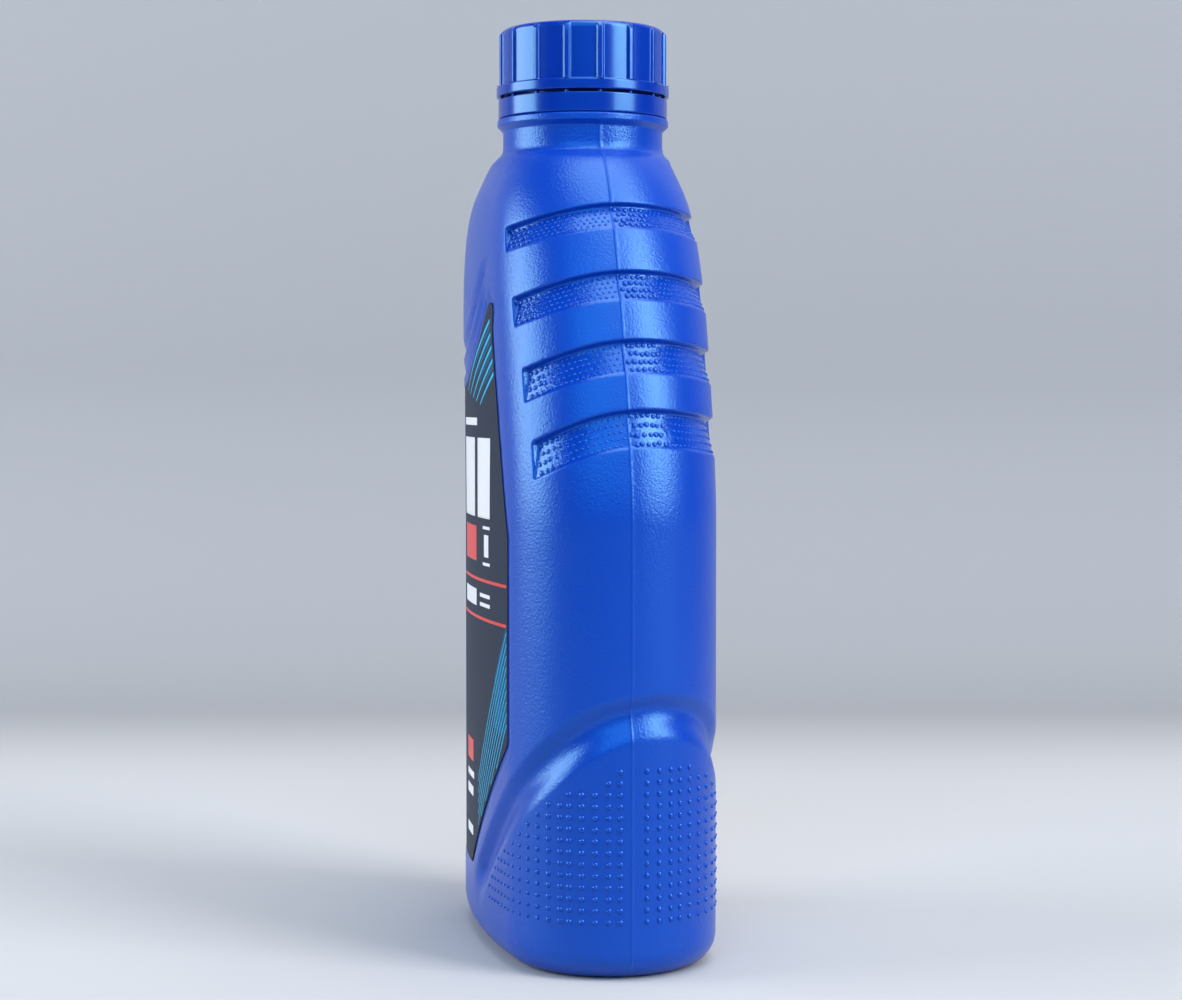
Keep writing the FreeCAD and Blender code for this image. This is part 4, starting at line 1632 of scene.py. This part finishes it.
RIB_COUNT = 16
RIB_PROFILE = SoftProfile([(-0.92, 0.0), (-0.66, 0.72), (0.66, 0.72), (0.92, 0.0)], 0.11)
CAP_FOOT = 222.35
CAP_TOP = 240.0
CAP_RADIUS = 21.6
CAP_BORE = 20.5
CAP_CEILING = 238.4
FLANGE_RADIUS = 22.8
FLANGE_TOP = 225.05
TOP_ROUNDING = 1.5
CAP_EDGE = CAP_BORE + 0.6
CAP_FLAT = 17.0
CAP_MIDDLE = 6.0
RIB_ZONE = (FLANGE_TOP, CAP_TOP - 1.0)
CAP_ROW = 1.3
BORE_ROW = 0.33
RIB_FADE = (CAP_TOP - 0.5, 1.3)
RIB_FOOT = FLANGE_TOP - 0.05
RIB_REACH = 1.6
RIB_COLUMNS = 19
GAP_COLUMNS = 9
BORE_EVERY = 4


def rib_out(angle: Array, height: Array) -> Array:
    """How far the cap's ribs stand out at angles and heights, over the flange only.

    Args:
        angle: Angles round Z.
        height: Heights.

    Returns:
        Amounts, which fade into the rounded top edge.
    """
    share = TAU / RIB_COUNT
    beside = (np.mod(angle + share / 2, share) - share / 2) * CAP_RADIUS
    end, width = RIB_FADE
    return RIB_PROFILE(beside) * smooth_step((end - height) / width) * (height > RIB_FOOT)


def build_cap() -> bpy.types.Object:
    """Screw cap: rounded top, ribbed skirt over a flange, and a threaded bore.

    Returns:
        The cap.
    """
    outside = rounded_corners([
        (CAP_EDGE, CAP_FOOT, 0.0),
        (FLANGE_RADIUS, CAP_FOOT, 0.3),
        (FLANGE_RADIUS, FLANGE_TOP, 0.45),
        (CAP_RADIUS, FLANGE_TOP, 0.25),
        (CAP_RADIUS, CAP_TOP, TOP_ROUNDING),
        (CAP_FLAT, CAP_TOP, 0.0),
        (CAP_MIDDLE, CAP_TOP, 0.0),
    ], steps=6)
    outside = with_rows(outside, *RIB_ZONE, CAP_ROW)
    inside = rounded_corners([
        (CAP_MIDDLE, CAP_CEILING, 0.0),
        (CAP_BORE, CAP_CEILING, 0.3),
        (CAP_BORE, CAP_FOOT, 0.3),
        (CAP_EDGE, CAP_FOOT, 0.0),
    ])
    inside = with_rows(inside, CAP_FOOT, CAP_CEILING, BORE_ROW)[:-1]
    share = TAU / RIB_COUNT
    half = RIB_REACH / CAP_RADIUS
    one_rib = np.concatenate([np.linspace(-half, half, RIB_COLUMNS),
                              spaced(half, share - half, share / GAP_COLUMNS)[1:]])
    angle = (np.arange(RIB_COUNT)[:, None] * share + one_rib[None, :]).reshape(-1)
    parts = MeshParts()
    shell = parts.add_tube(turn_line(outside, angle, rib_out))
    parts.add_cap(shell[-1], upwards=True)

    def thread_in(turn: Array, height: Array) -> Array:
        """Thread that stands into the bore.

        Args:
            turn: Angles round Z.
            height: Heights.

        Returns:
            Amounts outwards, none above zero.
        """
        return -CAP_THREAD.height_out(turn, height)

    kept = np.arange(0, len(angle), BORE_EVERY)
    bore = parts.add_tube(turn_line(inside, angle[kept], thread_in))
    parts.add_cap(bore[0], upwards=False)
    parts.add_stitch(shell[0], kept, bore[-1], above=False)
    return parts.make("cap_moulding")


def add_box(parts: MeshParts, centre: Array, outward: Array, size: Array) -> None:
    """Add an upright box that faces outwards.

    Args:
        parts: Mesh that gets the box.
        centre: Centre (3,).
        outward: Level unit vector (3,).
        size: Lengths outwards, sideways and upwards.
    """
    sideways = np.array((-outward[1], outward[0], 0.0))
    axes = np.stack([outward, sideways, np.array((0.0, 0.0, 1.0))]) * size[:, None] / 2
    signs = np.array([(x, y, z) for z in (-1, 1) for y in (-1, 1) for x in (-1, 1)], float)
    corners = parts.add_points(centre + signs @ axes)
    faces = np.array([(0, 2, 3, 1), (4, 5, 7, 6), (0, 1, 5, 4), (2, 6, 7, 3), (0, 4, 6, 2),
                      (1, 3, 7, 5)])
    parts.add_faces(corners[faces])


BAND_FOOT = 216.6
BAND_TOP = 221.6
BAND_RADIUS = 22.3
BAND_BORE = 21.1
LIP_BORE = 19.5
LIP_TOP = 217.7
LIP_MIDDLE = 20.9
BAND_COLUMNS = 160
BRIDGE_COUNT = 16
BRIDGE_RADIUS = 21.7
BRIDGE_HEIGHT = 221.73
BRIDGE_SIZE = np.array((0.8, 0.9, 1.22))


def build_band() -> bpy.types.Object:
    """Tamper band with an inward lip, and the thin bridges up to the cap.

    Returns:
        The band.
    """
    line = rounded_corners([
        (LIP_MIDDLE, BAND_FOOT, 0.0),
        (BAND_RADIUS, BAND_FOOT, 0.3),
        (BAND_RADIUS, BAND_TOP, 0.3),
        (BAND_BORE, BAND_TOP, 0.2),
        (BAND_BORE, LIP_TOP, 0.2),
        (LIP_BORE, LIP_TOP, 0.2),
        (LIP_BORE, BAND_FOOT, 0.2),
        (LIP_MIDDLE, BAND_FOOT, 0.0),
    ])[:-1]
    parts = MeshParts()
    ring = parts.add_points(turn_line(line, even_turns(BAND_COLUMNS)))
    parts.add_sheet(np.concatenate([ring, ring[:1]]), closed=True)
    for turn in even_turns(BRIDGE_COUNT):
        outward = np.array((math.cos(turn), math.sin(turn), 0.0))
        centre = outward * BRIDGE_RADIUS + np.array((0.0, 0.0, BRIDGE_HEIGHT))
        add_box(parts, centre, outward, BRIDGE_SIZE)
    return parts.make("band_ring")


@dataclass(frozen=True)
class Disc:
    """Flat round disc between two heights, with rounded edges."""

    radius: float
    low: float
    high: float
    rounding: float


FOIL = Disc(BOTTLE.finish_radius, BOTTLE.mouth, BOTTLE.mouth + 0.15, 0.05)
WAD = Disc(20.2, 237.4, CAP_CEILING, 0.15)
DISC_COLUMNS = 96
DISC_MIDDLE = 0.4


def build_disc(name: str, disc: Disc) -> bpy.types.Object:
    """Flat round disc with rounded edges.

    Args:
        name: Name of the object.
        disc: Sizes of the disc.

    Returns:
        The disc.
    """
    middle = disc.radius * DISC_MIDDLE
    line = rounded_corners([(middle, disc.low, 0.0), (disc.radius, disc.low, disc.rounding),
                            (disc.radius, disc.high, disc.rounding), (middle, disc.high, 0.0)])
    parts = MeshParts()
    rings = parts.add_tube(turn_line(line, even_turns(DISC_COLUMNS)))
    parts.add_cap(rings[0], upwards=False)
    parts.add_cap(rings[-1], upwards=True)
    return parts.make(name)


# Finishes


@dataclass(frozen=True)
class Grain:
    """Fine relief of a surface: noise of a size and a height, in millimetres."""

    size: float
    height: float
    detail: float = 2.0


@dataclass(frozen=True)
class PaintedLightFade:
    """Painted light and shade: a second colour that a surface takes on between two distances along
    a level direction.
    """

    colour: tuple[float, float, float]
    azimuth: float
    start: float
    stop: float


@dataclass(frozen=True)
class Finish:
    """Looks of one material."""

    name: str
    colour: tuple[float, float, float]
    roughness: float
    specular: float = 0.5
    tint: tuple[float, float, float] = (1.0, 1.0, 1.0)
    metallic: float = 0.0
    transmission: float = 0.0
    grains: tuple[Grain, ...] = ()
    fade: PaintedLightFade | None = None
    polished: float | None = None


def linear(red: int, green: int, blue: int) -> tuple[float, float, float]:
    """Colour for a shader from display values.

    Args:
        red: From 0 to 255.
        green: From 0 to 255.
        blue: From 0 to 255.

    Returns:
        The three values with the sRGB curve removed.
    """
    share = np.array((red, green, blue)) / 255.0
    light = np.where(share <= 0.04045, share / 12.92, ((share + 0.055) / 1.055) ** 2.4)
    return tuple(float(value) for value in light)


GLOSS_TINT = (0.27, 0.7, 1.0)
BOTTLE_BLUE = (0.0003, 0.039, 0.385)
CAP_BLUE = (0.0003, 0.026, 0.31)
# Floor colours with painted light: the floor is lighter near the camera and fades to the darker
# colour away from it.
FLOOR_PAINTED_LIT_NEAR = (0.485, 0.48, 0.49)
FLOOR_PAINTED_SHADED_FAR = (0.315, 0.315, 0.33)

FINISHES = {
    "bottle": Finish("bottle_blue_plastic", BOTTLE_BLUE, 0.3, 1.0, GLOSS_TINT,
                     grains=(Grain(0.6, 0.1), Grain(16.0, 0.2, 1.0)), polished=0.14),
    "dots": Finish("bottle_blue_dots", BOTTLE_BLUE, 0.1, 1.0, GLOSS_TINT),
    "cap": Finish("cap_blue_plastic", CAP_BLUE, 0.21, 1.0, GLOSS_TINT,
                  grains=(Grain(9.0, 0.02),)),
    "oil": Finish("amber_oil", linear(196, 128, 30), 0.05, transmission=0.9),
    "film": Finish("label_film", linear(34, 44, 62), 0.55, 0.15, grains=(Grain(6.0, 0.01),)),
    "print_cyan": Finish("print_cyan", linear(30, 172, 220), 0.5, 0.15),
    "print_teal": Finish("print_teal", linear(14, 78, 118), 0.5, 0.15),
    "print_red": Finish("print_red", linear(208, 44, 38), 0.35, 0.4),
    "print_white": Finish("print_white", linear(222, 225, 229), 0.35, 0.4),
    "wad": Finish("wad_foam", linear(226, 226, 220), 0.6, grains=(Grain(0.4, 0.02),)),
    "foil": Finish("foil_metal", linear(204, 206, 208), 0.3, metallic=1.0,
                   grains=(Grain(5.0, 0.03),)),
    # The floor's colour is painted lighter near the camera and darker away from it, standing in for
    # how the light falls.
    "floor": Finish("studio_floor", FLOOR_PAINTED_LIT_NEAR, 0.85, 0.2,
                    fade=PaintedLightFade(FLOOR_PAINTED_SHADED_FAR, math.radians(168.15), 250.0, 520.0)),
}


def find_node(tree: bpy.types.NodeTree, kind: str) -> bpy.types.Node:
    """First node of a kind.

    Args:
        tree: Nodes of a material or of the world.
        kind: Type of the node.

    Returns:
        The node.
    """
    return next(node for node in tree.nodes if node.type == kind)


def add_node(tree: bpy.types.NodeTree, kind: str, values: dict[str | int, object],
             links: dict[str | int, bpy.types.NodeSocket]) -> bpy.types.Node:
    """Add a node with the values and the links of its inputs.

    Args:
        tree: Nodes of a material or of the world.
        kind: Name of the node's class.
        values: Plain values by input.
        links: Sockets that feed the node, by input.

    Returns:
        The new node.
    """
    node = tree.nodes.new(kind)
    for socket, value in values.items():
        node.inputs[socket].default_value = value
    for socket, source in links.items():
        tree.links.new(source, node.inputs[socket])
    return node


def add_grain(tree: bpy.types.NodeTree, grain: Grain, place: bpy.types.NodeSocket,
              normal: bpy.types.NodeSocket | None) -> bpy.types.NodeSocket:
    """Add one fine relief to a material.

    Args:
        tree: The material's nodes.
        grain: The relief.
        place: Socket that gives the place on the object.
        normal: Normal that the relief starts from.

    Returns:
        Socket of the new normal.
    """
    noise = add_node(tree, "ShaderNodeTexNoise",
                     {"Scale": 1.0 / (grain.size * MM), "Detail": grain.detail},
                     {"Vector": place})
    links = {"Height": noise.outputs["Fac"]}
    if normal is not None:
        links["Normal"] = normal
    bump = add_node(tree, "ShaderNodeBump", {"Distance": grain.height * MM}, links)
    return bump.outputs["Normal"]


def add_painted_light_fade(tree: bpy.types.NodeTree, near: tuple[float, float, float], fade: PaintedLightFade,
             target: bpy.types.NodeSocket) -> None:
    """Blend a colour into a second one with the way along a level direction: painted light and
    shade.

    Args:
        tree: The material's nodes.
        near: First colour.
        fade: Second colour, direction and range.
        target: Colour socket that gets the blend.
    """
    place = tree.nodes.new("ShaderNodeTexCoord").outputs["Object"]
    direction = (math.cos(fade.azimuth), math.sin(fade.azimuth), 0.0)
    along = add_node(tree, "ShaderNodeVectorMath", {1: direction}, {0: place})
    along.operation = "DOT_PRODUCT"
    share = add_node(tree, "ShaderNodeMapRange",
                     {"From Min": fade.start * MM, "From Max": fade.stop * MM},
                     {"Value": along.outputs["Value"]})
    share.interpolation_type = "SMOOTHSTEP"
    blend = tree.nodes.new("ShaderNodeMix")
    blend.data_type = "RGBA"
    first, second = (item for item in blend.inputs if item.type == "RGBA")
    first.default_value = (*near, 1.0)
    second.default_value = (*fade.colour, 1.0)
    tree.links.new(share.outputs["Result"], blend.inputs["Factor"])
    tree.links.new(next(item for item in blend.outputs if item.type == "RGBA"), target)


def make_material(finish: Finish) -> bpy.types.Material:
    """Material of a finish.

    Args:
        finish: The looks.

    Returns:
        The material.
    """
    material = bpy.data.materials.new(finish.name)
    material.use_nodes = True
    tree = material.node_tree
    shader = find_node(tree, "BSDF_PRINCIPLED")
    values = {
        "Base Color": (*finish.colour, 1.0),
        "Roughness": finish.roughness,
        "Specular IOR Level": finish.specular,
        "Specular Tint": (*finish.tint, 1.0),
        "Metallic": finish.metallic,
        "Transmission Weight": finish.transmission,
    }
    for socket, value in values.items():
        shader.inputs[socket].default_value = value
    material.diffuse_color = (*finish.colour, 1.0)
    # Painted light and shade: the base colour blends into a second one along a level direction.
    if finish.fade is not None:
        add_painted_light_fade(tree, finish.colour, finish.fade, shader.inputs["Base Color"])
    if finish.polished is not None:
        polish = tree.nodes.new("ShaderNodeAttribute")
        polish.attribute_name = "polish"
        share = add_node(tree, "ShaderNodeMapRange",
                         {"To Min": finish.roughness, "To Max": finish.polished},
                         {"Value": polish.outputs["Fac"]})
        tree.links.new(share.outputs["Result"], shader.inputs["Roughness"])
    if finish.grains:
        place = tree.nodes.new("ShaderNodeTexCoord").outputs["Object"]
        normal = None
        for grain in finish.grains:
            normal = add_grain(tree, grain, place, normal)
        tree.links.new(normal, shader.inputs["Normal"])
    return material


# Putting the object together


def dress(obj: bpy.types.Object, material: bpy.types.Material, body: Body, slot: Slot,
          *nodes: str) -> None:
    """Give a piece its material and body, and hide the CAD nodes that it stands for.

    Args:
        obj: The piece.
        material: Its material.
        body: Body it rides on.
        slot: Material slot of the record; not used.
        nodes: Names of CAD nodes.
    """
    obj.data.materials.clear()
    obj.data.materials.append(material)
    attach(obj, body.value)
    if nodes:
        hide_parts(*nodes)
    LOG.info("%s: %d faces", obj.name, len(obj.data.polygons))


def build_object(materials: dict[str, bpy.types.Material]) -> None:
    """Build every piece of the bottle.

    Args:
        materials: Materials by the name of their finish.
    """
    dress(build_bottle(), materials["bottle"], Body.PACK, Slot.BOTTLE, "bottle")
    for name, dot, places in (("groove_dots", GROOVE_DOT, groove_dot_places()),
                              ("foot_dots", FOOT_DOT, foot_dot_places())):
        dress(build_dots(name, dot, *places), materials["dots"], Body.PACK, Slot.BOTTLE)
    for face, outline, fields, slot, node in (
            (Face.FRONT, front_outline(), FRONT_FIELDS, Slot.FRONT, "front_label"),
            (Face.BACK, BACK_CORNERS, BACK_FIELDS, Slot.BACK, "back_label")):
        film = build_label(node + "_film", face, outline)
        dress(film, materials["film"], Body.PACK, slot, node)
        for finish in sorted({item.finish for item in fields}):
            printed = build_print(node + "_" + finish, face, fields, finish)
            dress(printed, materials[finish], Body.PACK, slot)
    dress(build_band(), materials["cap"], Body.PACK, Slot.CAP, "tamper_band")
    dress(build_disc("foil_disc", FOIL), materials["foil"], Body.PACK, Slot.FOIL, "foil_seal")
    dress(build_disc("wad_disc", WAD), materials["wad"], Body.WAD, Slot.WAD, "cap_liner")
    dress(build_cap(), materials["cap"], Body.CAP, Slot.CAP, "screw_cap")
    dress(build_oil(), materials["oil"], Body.PACK, Slot.OIL, "oil_fill")


# Studio


def blend_for_camera(tree: bpy.types.NodeTree, plain: bpy.types.NodeSocket,
                     seen: bpy.types.NodeSocket, output: bpy.types.Node,
                     only: bpy.types.NodeSocket | None = None) -> None:
    """Show the camera one shader and all other rays another.

    Args:
        tree: Nodes of a material or of the world.
        plain: Shader for the light.
        seen: Shader for the camera.
        output: Output node.
        only: Share of the camera's rays that get its shader, or all of them.
    """
    share = tree.nodes.new("ShaderNodeLightPath").outputs["Is Camera Ray"]
    if only is not None:
        both = add_node(tree, "ShaderNodeMath", {}, {0: share, 1: only})
        both.operation = "MULTIPLY"
        share = both.outputs[0]
    blend = add_node(tree, "ShaderNodeMixShader", {}, {0: share, 1: plain, 2: seen})
    tree.links.new(blend.outputs[0], output.inputs["Surface"])


def hide_back(material: bpy.types.Material) -> None:
    """Let the camera look through a sheet from behind.

    Args:
        material: Material of the sheet.
    """
    tree = material.node_tree
    shader = find_node(tree, "BSDF_PRINCIPLED")
    output = find_node(tree, "OUTPUT_MATERIAL")
    clear = tree.nodes.new("ShaderNodeBsdfTransparent")
    behind = tree.nodes.new("ShaderNodeNewGeometry").outputs["Backfacing"]
    blend_for_camera(tree, shader.outputs[0], clear.outputs[0], output, behind)


@dataclass(frozen=True)
class Sweep:
    """Sizes of the floor and backdrop, in millimetres from the neck's axis."""

    near: float = 1600.0
    bend: float = 470.0
    radius: float = 160.0
    top: float = 2400.0
    half_width: float = 2600.0
    steps: int = 24


SWEEP = Sweep()


def build_sweep(material: bpy.types.Material) -> None:
    """Pale floor that curves up into a backdrop behind the bottle.

    In the plane of view the line is level, then a quarter circle, then upright. It is pulled
    sideways into a wide sheet.

    Args:
        material: Material of the sheet.
    """
    turn = np.linspace(0.0, math.pi / 2, SWEEP.steps)
    line = np.concatenate([
        [(-SWEEP.near, 0.0)],
        np.stack([SWEEP.bend + SWEEP.radius * np.sin(turn), SWEEP.radius * (1 - np.cos(turn))],
                 axis=1),
        [(SWEEP.bend + SWEEP.radius, SWEEP.top)],
    ])
    away = np.array((-math.cos(VIEW.azimuth), math.sin(VIEW.azimuth), 0.0))
    sideways = np.array((-away[1], away[0], 0.0))
    points = (line[:, None, :1] * away + line[:, None, 1:] * np.array((0.0, 0.0, 1.0))
              + SWEEP.half_width * np.array((1.0, -1.0))[None, :, None] * sideways)
    parts = MeshParts()
    parts.add_sheet(parts.add_points(points))
    sheet = parts.make("studio_sweep")
    sheet.data.materials.append(material)
    hide_back(material)


@dataclass(frozen=True)
class View:
    """Camera of the photograph, in millimetres; its clipping range is in metres."""

    azimuth: float = math.radians(11.85)
    distance: float = 655.0
    height: float = 142.3
    pitch: float = math.radians(2.3)
    lens: float = 74.92
    shift: float = 0.00702
    sensor: float = 36.0
    clip_start: float = 0.01
    clip_end: float = 20.0


VIEW = View()


def add_aimed(name: str, data: bpy.types.ID, place: Vector, forward: Vector) -> bpy.types.Object:
    """Add a camera or lamp at a place, looking forward.

    Args:
        name: Name of the object.
        data: Camera or lamp.
        place: Where it stands, in metres.
        forward: Direction it looks in.

    Returns:
        The new object, linked to the scene.
    """
    obj = bpy.data.objects.new(name, data)
    bpy.context.scene.collection.objects.link(obj)
    obj.location = place
    obj.rotation_euler = forward.to_track_quat("-Z", "Y").to_euler()
    return obj


def build_camera() -> None:
    """Camera at the photograph's place, looking slightly down at the grip side."""
    data = bpy.data.cameras.new("photo_camera")
    data.sensor_width = VIEW.sensor
    data.lens = VIEW.lens
    data.shift_x = VIEW.shift
    data.clip_start = VIEW.clip_start
    data.clip_end = VIEW.clip_end
    cosine, sine = math.cos(VIEW.azimuth), math.sin(VIEW.azimuth)
    place = Vector((VIEW.distance * cosine * MM, -VIEW.distance * sine * MM, VIEW.height * MM))
    forward = Vector((-cosine * math.cos(VIEW.pitch), sine * math.cos(VIEW.pitch),
                      -math.sin(VIEW.pitch)))
    bpy.context.scene.camera = add_aimed("photo_camera", data, place, forward)


@dataclass(frozen=True)
class Lamp:
    """Soft rectangular lamp that looks at the neck's axis, in metres and degrees."""

    name: str
    azimuth: float
    distance: float
    height: float
    aim: float
    width: float
    tall: float
    radiance: float
    colour: tuple[float, float, float] = (1.0, 1.0, 1.0)


LAMPS = (
    Lamp("left_softbox", -98.0, 1.1, 0.50, 0.50, 0.80, 0.76, 6.8),
    Lamp("right_softbox", 46.0, 1.3, 1.05, 1.05, 0.68, 1.4, 9.5),
    Lamp("front_fill", -16.0, 2.3, 1.8, 1.8, 2.3, 2.1, 2.8, (0.2, 0.6, 1.0)),
    Lamp("top_softbox", 38.0, 0.4, 1.6, 0.12, 1.3, 1.3, 3.6),
)


def build_lamp(lamp: Lamp) -> None:
    """Area lamp at an azimuth from +X, turned to the bottle.

    Args:
        lamp: Place, size and brightness. An area lamp's power is pi times its radiance and area.
    """
    data = bpy.data.lights.new(lamp.name, "AREA")
    data.shape = "RECTANGLE"
    data.size = lamp.width
    data.size_y = lamp.tall
    data.energy = lamp.radiance * math.pi * lamp.width * lamp.tall
    data.color = lamp.colour
    turn = math.radians(lamp.azimuth)
    place = Vector((lamp.distance * math.cos(turn), lamp.distance * math.sin(turn), lamp.height))
    add_aimed(lamp.name, data, place, Vector((0.0, 0.0, lamp.aim)) - place)


LIGHT_COLOUR = (0.80, 0.86, 1.0, 1.0)
LIGHT_STRENGTH = 0.06
SEEN_COLOUR = (0.47, 0.50, 0.58, 1.0)


def build_studio(materials: dict[str, bpy.types.Material]) -> None:
    """Floor, backdrop, lamps, soft surrounding light and the camera.

    Args:
        materials: Materials by the name of their finish.
    """
    build_sweep(materials["floor"])
    world = bpy.data.worlds.new("studio_light")
    world.use_nodes = True
    tree = world.node_tree
    surrounding = find_node(tree, "BACKGROUND")
    surrounding.inputs["Color"].default_value = LIGHT_COLOUR
    surrounding.inputs["Strength"].default_value = LIGHT_STRENGTH
    seen = add_node(tree, "ShaderNodeBackground", {"Color": SEEN_COLOUR}, {})
    blend_for_camera(tree, surrounding.outputs[0], seen.outputs[0],
                     find_node(tree, "OUTPUT_WORLD"))
    bpy.context.scene.world = world
    for lamp in LAMPS:
        build_lamp(lamp)
    build_camera()
    bpy.context.scene.view_settings.view_transform = "Standard"


def main() -> None:
    """Build the bottle and its studio; each piece's number of faces is logged."""
    logging.basicConfig(level=logging.INFO, format="%(name)s: %(message)s")
    materials = {name: make_material(finish) for name, finish in FINISHES.items()}
    build_object(materials)
    build_studio(materials)


if __name__ == "__main__":
    main()
